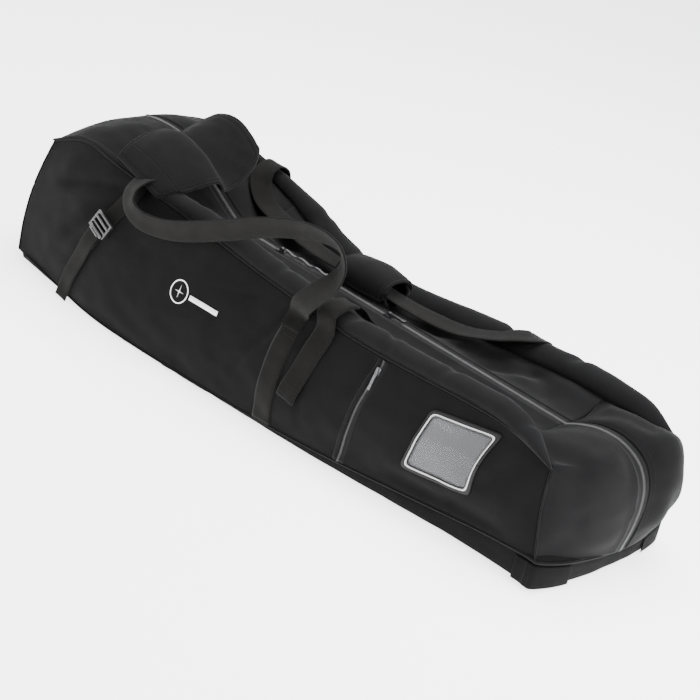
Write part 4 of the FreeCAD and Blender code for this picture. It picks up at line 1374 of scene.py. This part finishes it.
def window_place(a, b):
    """x and z of a place in the window, a and b from -1 to 1, with its hollow foot edge."""
    s, t = (a + 1) / 2, (b + 1) / 2
    low = [mix(WINDOW[0][k], WINDOW[1][k], s) for k in (0, 1)]
    high = [mix(WINDOW[2][k], WINDOW[3][k], s) for k in (0, 1)]
    x, z = (mix(low[k], high[k], t) for k in (0, 1))
    return x - 0.007 * (1 - b * b) * max(a, 0) ** 2, z


def window_loop(share, steps=112, power=14):
    """Places round the window at a share of its size, with small round corners."""
    loop = []
    for i in range(steps):
        c, s = math.cos(2 * math.pi * i / steps), math.sin(2 * math.pi * i / steps)
        k = (abs(c) ** power + abs(s) ** power) ** (-1 / power)
        loop.append(window_place(c * k * share[0], s * k * share[1]))
    return loop


def loop_strip(name, shares, lifts, thickness, finish, slot, stands_for=()):
    grid = []
    for share, lift in zip(shares, lifts):
        loop = window_loop(share)
        grid.append([(x, z, lift) for x, z in loop + loop[:1]])
    obj = laid_grid(name, front_side, grid, thickness)
    return place(obj, "case", slot, finish, stands_for)


def make_window():
    border = [(1.0, 1.0), (0.985, 0.98), (0.95, 0.94), (0.90, 0.88), (0.86, 0.83), (0.845, 0.815)]
    loop_strip("window_border", border, (0.0012, 0.0032, 0.0036, 0.0036, 0.0034, 0.0026), 0.0012,
               VINYL, "window_vinyl",
               ("id_window_frame",))
    loop_strip("window_white_line", [(0.905, 0.885), (0.893, 0.871)], (0.0040, 0.0040), 0.0003,
               PRINT, "white_print")
    loop_strip("window_white_inner_line", [(0.880, 0.855), (0.874, 0.848)], (0.0039, 0.0039),
               0.0003, PRINT, "white_print")
    loop = [side_point(front_side, x, z, 0.0040) for x, z in window_loop((0.965, 0.958), 260)]
    normals = [front_side.normal(*on_side(front_side, *window_loop((0.965, 0.958),
            260)[i])) for i in range(0, 260, 10)]
    stitches("window_stitches", loop, [normals[i // 10] for i in range(260)], "case",
             size=(0.0024, 0.0006, 0.0005))
    for name, reach, lift, thickness, body, slot, finish, node in (
            ("window_sheet", (0.87, 0.845), 0.0028, 0.0004, "case", "clear_sheet", CLEAR,
             "id_window_sheet"),
            ("window_card", (0.86, 0.835), 0.0016, 0.0005, "id_card", "card", CARD, "id_card")):
        grid = []
        for j in range(13):
            line = []
            for i in range(17):
                a, b = (i / 8 - 1) * reach[0], (j / 6 - 1) * reach[1]
                line.append((*window_place(a, b), lift))
            grid.append(line)
        place(laid_grid(name, front_side, grid, thickness), body, slot, finish, (node,))


make_window()


# ---------------------------------------------------------------- printed mark


def make_mark():
    """A plain ring round a small star, with a plain bar beside it."""
    low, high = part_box("printed_mark")
    radius, line, lift = (high.z - low.z) / 2, 0.10, 0.0008
    centre, level = low.x + radius, (low.z + high.z) / 2

    def spot(a, r):
        return centre + radius * r * math.cos(a), level + radius * r * math.sin(a), lift

    ring = [[spot(2 * math.pi * k / 72, r) for k in range(73)] for r in (1.0, 1.0 - line)]
    place(laid_grid("emblem_ring", front_side, ring, 0.0002), "case", "white_print", PRINT,
          ("printed_mark",))
    star = []
    for share in (1.0, 0.5, 0.02):
        star.append([spot(2 * math.pi * k / 64,
                          0.56 * share / (1 + 5.5 * abs(math.sin(4 * math.pi * k / 64)) ** 0.75))
                     for k in range(65)])
    place(laid_grid("emblem_star", front_side, star, 0.0002), "case", "white_print", PRINT)
    start = centre + radius * 1.25
    bar = [[(mix(start, high.x, i / 16), level + dz, lift) for i in range(17)] for dz in (-0.0038,
            0.0, 0.0038)]
    place(laid_grid("emblem_bar", front_side, bar, 0.0002), "case", "white_print", PRINT)


make_mark()


# ---------------------------------------------------------------- webbing on the sides


def sewn_band(name, surface, line, stands_for=(), width=WEB):
    obj = laid_grid(name, surface, laid_strip(line, width, 0.0024), 0.0018)
    place(obj, "case", "webbing", WEBBING, stands_for)
    for row, off in enumerate((-width / 2 + 0.003, width / 2 - 0.003)):
        side_stitches(name + "_stitches_" + str(row), surface, [(x + off, z) for x, z in line],
                      "case", 0.0027)


def box_stitches(name, surface, x, z, width, height, body="case", lift=0.003):
    """A sewn box with a cross in it, where webbing bears a load."""
    w, h = width / 2, height / 2
    corners = [(-w, -h), (w, -h), (w, h), (-w, h), (-w, -h), (w, h)]
    for k, (a, b) in enumerate(list(zip(corners, corners[1:])) + [((-w, h), (w, -h))]):
        side_stitches(name + "_" + str(k), surface, [(x + a[0], z + a[1]), (x + b[0], z + b[1])],
                      body, lift)


sewn_band("front_band", front_side, [(0.060, 0.200), (0.060, 0.14), (0.060, 0.08),
                                     (0.061, 0.013)], ("front_handle_band",))
box_stitches("front_band_box", front_side, 0.060, 0.172, 0.028, 0.034)
back_band_x = (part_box("back_handle_bands")[0].x + WEB / 2,
               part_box("back_handle_bands")[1].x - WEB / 2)
for k, x in enumerate(back_band_x):
    top = smooth(x, BACK_TOP) - 0.004
    sewn_band("back_band_" + str(k), back_side, [(x, top), (x, 0.1),
                                                 (x, smooth(x, BACK_BASE) + 0.004)],
              ("back_handle_bands",) if k == 0 else ())
    box_stitches("back_band_box_" + str(k), back_side, x, top - 0.03, 0.028, 0.034)


# ---------------------------------------------------------------- front handle


def make_front_handle():
    end = side_point(front_side, 0.061, 0.188, 0.0045)
    low = side_point(front_side, 0.060, 0.165, 0.0042)
    stations = [((-0.300, -0.112, 0.2550), (1, 0.02, 0.0)),
                ((-0.308, -0.136, 0.2600), (1, 0.05, 0.05)),
                ((-0.320, -0.164, 0.2560), (0.97, 0.1, 0.25)),
                ((-0.325, -0.186, 0.2380), (0.8, 0.1, 0.6)),
                ((-0.312, -0.198, 0.2170), (0.45, -0.1, 0.9)),
                ((-0.283, -0.199, 0.2050), (0.12, -0.2, 1)),
                ((-0.240, -0.195, 0.2080), (-0.1, -0.28, 1)),
                ((-0.190, -0.192, 0.2230), (-0.2, -0.3, 1)),
                ((-0.114, -0.187, 0.2570), (-0.25, -0.35, 0.95)),
                ((-0.030, -0.180, 0.2980), (-0.25, -0.4, 0.9)),
                ((0.040, -0.174, 0.3240), (-0.15, -0.5, 0.85)),
                ((0.090, -0.171, 0.3330), (0.15, -0.6, 0.75)),
                ((0.124, -0.172, 0.3270), (0.5, -0.6, 0.5)),
                ((0.138, -0.176, 0.3050), (0.8, -0.5, 0.2)),
                ((0.130, -0.181, 0.2780), (0.95, -0.3, -0.1)),
                ((0.104, -0.182, 0.2480), (1, -0.1, -0.3)),
                ((0.078, -0.178, 0.2180), (1, 0.05, -0.25)), (end, (1, 0.03, -0.05)),
                (low, (1, 0.03, 0))]
    band("front_handle_webbing", stations, WEB, 0.0032, "front_handle", WEBBING,
         ("front_handle",), cup=0.0012)
    edge_stitches("front_handle_stitches", stations[4:17], WEB, 0.0032, "front_handle", 0.0012)


def edge_stitches(name, stations, width, thickness, body, cup=0.0, spacing=STITCH_STEP):
    """Stitch rows near both edges of a hanging band, on both its faces."""
    rings = band_grid(stations, width, thickness, spacing=spacing, cup=cup)[0]
    for k, (a, b) in enumerate(((2, 3), (6, 5), (10, 11), (14, 13))):
        places = []
        for i, ring in enumerate(rings):
            p = ring[a].lerp(ring[b], 0.12)
            run = rings[min(i + 1, len(rings) - 1)][a] - rings[max(i - 1, 0)][a]
            middle = (ring[0] + ring[8]) / 2
            out = (ring[8] - ring[0]).cross(run).normalized()
            if out.dot(p - middle) < 0:
                out.negate()
            places.append((p + out * 0.0001, run, out))
        beads(name + "_" + str(k), places, STITCH, THREAD, body, "webbing")


make_front_handle()


# ---------------------------------------------------------------- head strap, lock and tail


def make_head_strap():
    lock = side_point(front_side, -0.363, 0.157, 0.0045)
    top = Vector((-0.323, -0.150, 0.2575))
    stations = [((-0.322, -0.118, 0.256), (1, 0.05, 0)), (top, (1, 0.02, -0.1)),
                (side_point(front_side, -0.326, 0.236, 0.0065), (0.95, 0.1, -0.25)),
                (side_point(front_side, -0.341, 0.205, 0.004), (0.92, 0, -0.36)),
                (side_point(front_side, -0.354, 0.178, 0.004), (0.92, 0, -0.36)),
                (lock, (0.92, 0, -0.36)),
                (side_point(front_side, -0.371, 0.140, 0.0055), (0.92, 0, -0.36)),
                (side_point(front_side, -0.382, 0.118, 0.006), (0.92, 0, -0.36))]
    band("head_strap_webbing", stations, 0.030, 0.0026, "case", WEBBING, ("head_strap",),
         cup=0.0006)
    edge_stitches("head_strap_stitches", stations[2:6], 0.030, 0.0026, "case", 0.0006)
    tail = [(side_point(front_side, -0.367, 0.150, 0.0095), (0.92, 0, -0.36)),
            (side_point(front_side, -0.381, 0.118, 0.0100), (0.92, 0, -0.36)),
            (side_point(front_side, -0.395, 0.085, 0.0075), (0.93, 0, -0.34)),
            (side_point(front_side, -0.409, 0.052, 0.0075), (0.94, 0, -0.30)),
            (side_point(front_side, -0.417, 0.024, 0.0080), (0.95, 0, -0.25)),
            ((-0.421, side_point(front_side, -0.417, 0.024).y - 0.011, 0.004), (0.97, 0, -0.2))]
    band("strap_tail_webbing", tail, 0.028, 0.0022, "strap_tail", WEBBING, ("strap_tail",),
         cup=0.0006)
    edge_stitches("strap_tail_stitches", tail, 0.028, 0.0022, "strap_tail", 0.0006)
    u, v = on_side(front_side, -0.363, 0.157)
    out = front_side.normal(u, v)
    run = Vector((0.36, 0, 0.93))
    run = (run - out * run.dot(out)).normalized()
    across = run.cross(out)
    origin = front_side.at(u, v, 0.0085)
    half, wide = 0.0130, 0.0190
    shapes = [((half, 0, 0.0008), (0.0044, 2 * wide, 0.0052)),
              ((0.0048, 0, 0.0026), (0.0040, 2 * wide, 0.0048)),
              ((-0.0050, 0, 0.0018), (0.0040, 2 * wide, 0.0050)),
              ((-half, 0, 0.0034), (0.0050, 2 * wide, 0.0060)),
              ((0, wide, 0), (2 * half + 0.004, 0.0044, 0.0064)),
              ((0, -wide, 0), (2 * half + 0.004, 0.0044, 0.0064)),
              ((-half - 0.003, 0, 0.0062), (0.0030, 1.3 * wide, 0.0034))]
    bars("lock_frame", origin, (run, across, out), shapes, "ladder_lock", "lock_plastic", LOCK,
         ("ladder_lock",), 0.0010)


LOCK = moulded("lock_plastic", (0.008, 0.008, 0.008), (0.024, 0.024, 0.025), 0.2, 0.0, 0.6)
make_head_strap()


# ---------------------------------------------------------------- hanging strap


def make_hanging_strap():
    spots = [((0.118, -0.112, 0.2275), (1, 0.05, 0)), ((0.117, -0.134, 0.2290), (1, 0.03, 0)),
             ((0.114, -0.158, 0.2180), (1, 0, -0.1)), (side_point(front_side, 0.119, 0.185,
                     0.0055), (0.98, 0, -0.15)),
             (side_point(front_side, 0.115, 0.150, 0.0048), (0.98, 0, -0.18)),
             (side_point(front_side, 0.109, 0.118, 0.0048), (0.98, 0, -0.18)),
             (side_point(front_side, 0.104, 0.088, 0.0052), (0.98, 0, -0.18)),
             (side_point(front_side, 0.102, 0.072, 0.0056), (0.98, 0, -0.18))]
    band("hanging_strap_webbing", spots, 0.036, 0.0046, "hanging_strap", WEBBING,
         ("hanging_strap",), cup=0.0006)
    edge_stitches("hanging_strap_stitches", spots, 0.036, 0.0046, "hanging_strap", 0.0006)
    for k, z in enumerate((0.078, 0.094)):
        x = 0.103 + (z - 0.075) * 0.18
        side_stitches("hanging_end_stitches_" + str(k), front_side,
                      [(x - 0.014, z + 0.003), (x + 0.014, z - 0.004)],
                      "hanging_strap", 0.0080)
    root = [((0.118, -0.060, 0.1860), (1, 0, 0)), ((0.118, -0.080, 0.2010), (1, 0, 0)),
            ((0.118, -0.097, 0.2190), (1, 0, 0)), ((0.118, -0.113, 0.2300), (1, 0, 0))]
    band("strap_root_webbing", root, 0.036, 0.0022, "front_lid", WEBBING, ("strap_root",))


make_hanging_strap()


# ---------------------------------------------------------------- back handle and hand wrap


def crest(x, side, out=0.0):
    """A point on top of an edge roll."""
    top = FRONT_TOP if side < 0 else BACK_TOP
    return Vector((x, side * (half_width(x) - 0.041 + out), smooth(x, top) + 0.0265))


WRAP_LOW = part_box("hand_wrap_trough")[0].x + 0.017
WRAP_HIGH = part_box("hand_wrap_trough")[1].x - 0.013
WRAP_MIDDLE = Vector(((WRAP_LOW + WRAP_HIGH) / 2, 0.062, 0.181))


def make_back_handle():
    head, foot = back_band_x
    middle = WRAP_MIDDLE
    outer = [side_point(back_side, x, smooth(x, BACK_TOP) - 0.012, 0.004) for x in back_band_x]
    stations = [(outer[0], (1, 0, 0)), (crest(head, 1, 0.022) - Vector((0, 0, 0.010)), (1, 0, 0)),
                (crest(head, 1), (1, 0, 0)),
                ((head + 0.008, 0.108, 0.2360), (1, 0.3, 0)),
                ((head + 0.026, 0.088, 0.2180), (0.8, 0.6, -0.1)),
                ((head + 0.062, 0.076, 0.1980), (0.3, 1, 0.1)),
                ((-0.20, 0.070, 0.1880), (0, 1, 0.15)),
                ((-0.13, 0.066, 0.1790), (0, 1, 0.1)), ((WRAP_LOW, middle.y, middle.z - 0.002),
                                                        (0, 1, 0)),
                ((middle.x, middle.y, middle.z), (0, 1, 0)),
                ((WRAP_HIGH, middle.y, middle.z - 0.002), (0, 1, 0)),
                ((0.12, 0.068, 0.1760), (0, 1, 0.1)), ((0.19, 0.076, 0.1800), (0, 1, 0.15)),
                ((foot - 0.050, 0.084, 0.1980), (-0.3, 1, 0.1)),
                ((foot - 0.020, 0.100, 0.2100), (-0.8, 0.6, 0)),
                (crest(foot, 1), (-1, 0, 0)), (crest(foot, 1, 0.022) - Vector((0, 0, 0.010)),
                                               (-1, 0, 0)),
                (outer[1], (-1, 0, 0))]
    band("back_handle_webbing", stations, WEB, 0.0030, "back_handle", WEBBING, ("back_handle",),
         cup=0.0008)
    edge_stitches("back_handle_stitches", stations[3:15], WEB, 0.0030, "back_handle", 0.0008)


make_back_handle()


def wrap_shell(name, start, finish, grow, body, slot, node, flare=0.0):
    """Part of the padded sleeve round the handle, between two angles in degrees."""
    lines, columns = 34, 44
    grid = []
    for j in range(lines + 1):
        t = j / lines
        a = math.radians(mix(start, finish, t))
        row = []
        for i in range(columns + 1):
            s = i / columns
            x = mix(WRAP_LOW, WRAP_HIGH, s)
            c, n = math.cos(a), math.sin(a)
            k = (abs(c) ** 2.6 + abs(n) ** 2.6) ** (-1 / 2.6)
            swell = 0.0022 * math.sin(math.pi * s) + 0.0012 * noise.noise(Vector((x * 30, a * 1.2,
                    4.0)))
            pinch = 0.0016 * math.exp(-((min(s, 1 - s)) / 0.05) ** 2)
            wide = 0.031 + grow + swell - pinch
            high = 0.0215 + grow + swell - pinch + flare * max(n, 0) * math.sin(math.pi * s)
            lean = 0.004 * math.sin((x - WRAP_LOW) * 14)
            row.append(WRAP_MIDDLE + Vector((x - WRAP_MIDDLE.x, c * k * wide,
                                             n * k * high + lean * 0.5)))
        grid.append(row)
    mesh = grid_mesh(name, grid)
    middle = mesh.polygons[len(mesh.polygons) // 2]
    if middle.normal.dot(middle.center - WRAP_MIDDLE) < 0:
        mesh = grid_mesh(name, grid, flip=True)
    obj = new_object(name, mesh)
    wall = add_wall(obj, 0.005)
    wall.material_offset = 1
    place(obj, body, slot, (PAD, LINING), (node,), padded=0.5)
    rims = (grid[0], grid[-1], [line[0] for line in grid], [line[-1] for line in grid])
    for k, rim in enumerate(rims):
        inward = [p + (WRAP_MIDDLE + Vector((p.x - WRAP_MIDDLE.x, 0,
                                             0)) - p).normalized() * 0.0025 for p in rim]
        tube(name + "_binding_" + str(k),
             inward[::4] + ([inward[-1]] if (len(inward) - 1) % 4 else []), 0.0034, body,
             slot, BINDING, sides=10)
    for k, s in enumerate((2, columns - 2)):
        line = [row[s] for row in grid]
        out = [(p - WRAP_MIDDLE - Vector((p.x - WRAP_MIDDLE.x, 0, 0))).normalized() for p in line]
        stitches(name + "_stitches_" + str(k), even_line(line, 0.0042),
                 [out[min(int(i / max(1, len(even_line(line, 0.0042)) - 1) * (len(out) - 1)),
                          len(out) - 1)]
                  for i in range(len(even_line(line, 0.0042)))], body)


wrap_shell("wrap_trough_pad", 28, -208, 0.0, "back_handle", "body_cloth", "hand_wrap_trough")
wrap_shell("wrap_cover_pad", 4, 190, 0.0062, "wrap_cover", "body_cloth", "hand_wrap_cover", 0.004)


# ---------------------------------------------------------------- flap over the head end


def flap_rows():
    """Rows across the flap, from its sewn edge to its free edge, set from its halves' boxes."""
    (low, high), (far_low, far_high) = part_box("flap_near_half"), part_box("flap_far_half")
    middle, half = (low.x + high.x) / 2, (high.x - low.x) / 2
    # y, shift along the case, share of the width, height, tilt to the foot, droop at the sides
    shapes = (
        (low.y - 0.020, 0.003, 0.68, low.z - 0.011, 0.015, 0.0),
        (low.y + 0.013, 0.018, 0.83, low.z + 0.024, 0.016, 0.011),
        (high.y - 0.018, 0.020, 0.92, high.z + 0.010, 0.015, 0.021),
        (far_low.y + 0.015, 0.007, 0.90, far_low.z - 0.009, 0.019, 0.016),
        (far_low.y + 0.056, -0.004, 0.95, far_low.z + 0.009, 0.012, 0.032),
        (far_high.y - 0.028, -0.012, 1.02, far_high.z + 0.017, 0.002, 0.045))
    return [[(middle + shift + half * wide * s, y, z - tilt * s - droop * s * s) for s in (-1,
            -0.5, 0, 0.5, 1)]
            for y, shift, wide, z, tilt, droop in shapes]


def flap_relief(p, u, v):
    return weather(p, 16, 0.003) + weather(p, 40, 0.0012)


flap = Surface(flap_rows(), flap_relief, (0, 0, 1))


def flap_uv(s, t):
    """Places on the flap with its corners rounded off."""
    far = max(t - 0.78, 0) / 0.22
    near = max(0.12 - t, 0) / 0.12
    narrow = 1 - 0.26 * (1 - math.sqrt(max(1 - far * far, 0))) - 0.05 * near * near
    return 0.5 + (s - 0.5) * narrow, t


FLAP_BLEND = ("flap_near", "flap_far", (-0.34, -0.080, 0.29), (-0.34, -0.044, 0.29))


FLAP_HINGE = 0.15  # how far up the flap its fold over the front edge is


def flap_sheet(name, start, finish, lines, columns=90):
    """The padded flap between two shares of its length."""
    top, under = [], []
    for j in range(lines + 1):
        row, low = [], []
        for i in range(columns + 1):
            s, t = i / columns, mix(start, finish, j / lines)
            u, v = flap_uv(s, t)
            rim = min(min(s, 1 - s) / 0.06, min(t, 1 - t) / 0.05, 1)
            half = 0.0048 * math.sqrt(max(1 - (1 - rim) ** 2, 0)) + 0.0004
            channel = 1 - 0.35 * math.exp(-((rim - 0.8) / 0.15) ** 2)
            row.append(flap.at(u, v, half * channel))
            low.append(flap.at(u, v, -half))
        top.append(row)
        under.append(low)
    count = (lines + 1) * (columns + 1)
    mesh = bpy.data.meshes.new(name)
    verts = [p for row in top for p in row] + [p for row in under for p in row]
    faces = []
    wide = columns + 1
    for j in range(lines):
        for i in range(columns):
            quad = (j * wide + i, j * wide + i + 1, (j + 1) * wide + i + 1, (j + 1) * wide + i)
            faces.append(quad)
            faces.append(tuple(k + count for k in quad[::-1]))
    border = [i for i in range(wide)] + [j * wide + columns for j in range(1, lines + 1)]
    border += [lines * wide + i for i in range(columns - 1, -1,
                                               -1)] + [j * wide for j in range(lines - 1, 0, -1)]
    for a, b in zip(border, border[1:] + border[:1]):
        faces.append((b, a, a + count, b + count))
    mesh.from_pydata(verts, [], faces)
    layer = mesh.uv_layers.new(name="Cloth")
    for loop in mesh.loops:
        p = mesh.vertices[loop.vertex_index].co
        layer.data[loop.index].uv = (p.x, p.y + p.z)
    bm = bmesh.new()
    bm.from_mesh(mesh)
    bmesh.ops.recalc_face_normals(bm, faces=bm.faces)
    bm.to_mesh(mesh)
    bm.free()
    shade_smooth(mesh)
    return new_object(name, mesh)


def make_flap():
    place(flap_sheet("flap_root", 0, FLAP_HINGE, 18), "case", "body_cloth", PAD, padded=0.6)
    place(flap_sheet("flap_pad", FLAP_HINGE, 1, 94), None, "body_cloth", PAD,
          ("flap_near_half", "flap_far_half"), FLAP_BLEND, 0.6)

    def round_edge(t):
        """s and t round the flap's free edges, from its near head corner to its near foot one."""
        place_on = t * 3
        if place_on < 1:
            return 0.004, mix(FLAP_HINGE, 0.996, place_on)
        if place_on < 2:
            return mix(0.004, 0.996, place_on - 1), 0.996
        return 0.996, mix(0.996, FLAP_HINGE, place_on - 2)

    rim = [flap.at(*flap_uv(*round_edge(i / 240))) for i in range(241)]
    tube("flap_binding", rim[::5], 0.0036, "flap_near", "body_cloth", BINDING, sides=10,
         blend=FLAP_BLEND)
    for k, inset in enumerate((0.055, 0.082)):
        line, out = [], []
        for i in range(241):
            s, t = round_edge(i / 240)
            s, t = min(max(s, inset), 1 - inset), min(t, 1 - inset * 0.8)
            u, v = flap_uv(s, t)
            line.append(flap.at(u, v, 0.0046 if k else 0.0042))
            out.append(flap.normal(u, v))
        kept, normals, last = [], [], None
        for p, n in zip(line, out):
            if last is None or (p - last).length > 0.0040:
                kept.append(p)
                normals.append(n)
                last = p
        stitches("flap_stitches_" + str(k), kept, normals, None, blend=FLAP_BLEND)


make_flap()


# ---------------------------------------------------------------- foot corner patches


def make_corner_patches():
    """Sewn patches low on the foot end's corners."""
    ring = base_ring(840)
    for word, side in (("front", -1), ("back", 1)):
        picked = [(p, out) for p, out in ring if p.x > 0.545 and p.y * side > 0.088]
        picked.sort(key=lambda spot: math.atan2(side * spot[0].y - 0.1, spot[0].x - 0.545))
        grid = []
        for share, lift in ((0.10, 0.0004), (0.14, 0.0014), (0.5, 0.0016), (0.86, 0.0014),
                            (0.90, 0.0005)):
            grid.append([Vector((p.x, p.y, p.z * share)) + out * lift for p, out in picked])
        mesh = grid_mesh(word + "_patch", grid)
        face = mesh.polygons[len(mesh.polygons) // 2]
        if face.normal.dot(Vector((1, side, 0))) < 0:
            mesh = grid_mesh(word + "_patch", grid, flip=True)
        obj = new_object("foot_patch_" + word, mesh)
        add_wall(obj, 0.001)
        place(obj, "case", "base_cloth", BASE, ("foot_corner_patches",) if side < 0 else ())


make_corner_patches()


# ---------------------------------------------------------------- carried-over hard parts


def dress(node, finish):
    """Give a kept CAD node a finish of its own."""
    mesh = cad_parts[node].data
    mesh.materials.clear()
    mesh.materials.append(finish)


for node in ("zip_stops", "head_slider", "foot_slider", "foot_pull", "pocket_slider",
             "pocket_pull"):
    dress(node, METAL)
for node, finish in (("head_pull", PULL), ("ladder_lock", PLASTIC), ("id_card", CARD),
                     ("id_window_sheet", CLEAR), ("printed_mark", PRINT),
                     ("id_window_frame", VINYL)):
    dress(node, finish)


# ---------------------------------------------------------------- studio


CAMERA_PLACE = (1.7507, -2.0872, 1.3538)
CAMERA_RISE, CAMERA_TURN, CAMERA_ROLL = 25.15, 39.3, 13.0  # degrees
CAMERA_LENS = 95.4


def make_camera():
    """A long lens from above the foot end's front corner, rolled a little."""
    rise, turn, roll = (math.radians(a) for a in (CAMERA_RISE, CAMERA_TURN, CAMERA_ROLL))
    back = Vector((math.sin(turn) * math.cos(rise), -math.cos(turn) * math.cos(rise),
                   math.sin(rise)))
    level = Vector((math.cos(turn), math.sin(turn), 0))
    up = back.cross(level)
    right = level * math.cos(roll) + up * math.sin(roll)
    top = up * math.cos(roll) - level * math.sin(roll)
    data = bpy.data.cameras.new("View")
    data.lens = CAMERA_LENS
    data.sensor_width = 36
    camera = bpy.data.objects.new("View", data)
    bpy.context.scene.collection.objects.link(camera)
    turned = Matrix((right, top, back)).transposed().to_4x4()
    camera.matrix_world = Matrix.Translation(CAMERA_PLACE) @ turned
    bpy.context.scene.camera = camera


make_camera()


def lamp(name, place, target, size, power, tint=(1, 1, 1)):
    data = bpy.data.lights.new(name, "AREA")
    data.shape = "RECTANGLE"
    data.size, data.size_y = size
    data.energy = power
    data.color = tint
    obj = bpy.data.objects.new(name, data)
    bpy.context.scene.collection.objects.link(obj)
    obj.location = place
    obj.rotation_euler = (Vector(target) - Vector(place)).to_track_quat("-Z", "Y").to_euler()


lamp("overhead", (0.1, 0.5, 2.6), (0, 0, 0), (2.6, 1.8), 190)
lamp("foot_side", (2.6, -0.2, 1.4), (0.4, 0, 0.1), (1.4, 1.4), 110)
lamp("front_fill", (-0.6, -2.8, 1.6), (-0.1, 0, 0.1), (2.2, 1.4), 60)

world = bpy.data.worlds.new("Studio")
world.use_nodes = True
world.node_tree.nodes["Background"].inputs[0].default_value = (1, 1, 1, 1)
world.node_tree.nodes["Background"].inputs[1].default_value = 0.5
bpy.context.scene.world = world


def make_floor():
    """A plain pale floor."""
    size, level = 14.0, -0.0006
    mesh = bpy.data.meshes.new("studio_floor")
    corners = [(x * size, y * size, level) for x, y in ((-1, -1), (1, -1), (1, 1), (-1, 1))]
    mesh.from_pydata(corners, [], [(0, 1, 2, 3)])
    floor = new_object("studio_floor", mesh)
    paper = Finish("studio_paper", Roughness=0.9, Emission_Color=(1, 1, 1, 1),
                   Emission_Strength=2.6)
    paper.feed("Base Color", paper.colours(paper.noise(3.0), (0.9, 0.9, 0.9), (0.93, 0.93, 0.93)))
    mesh.materials.append(paper.material)


make_floor()
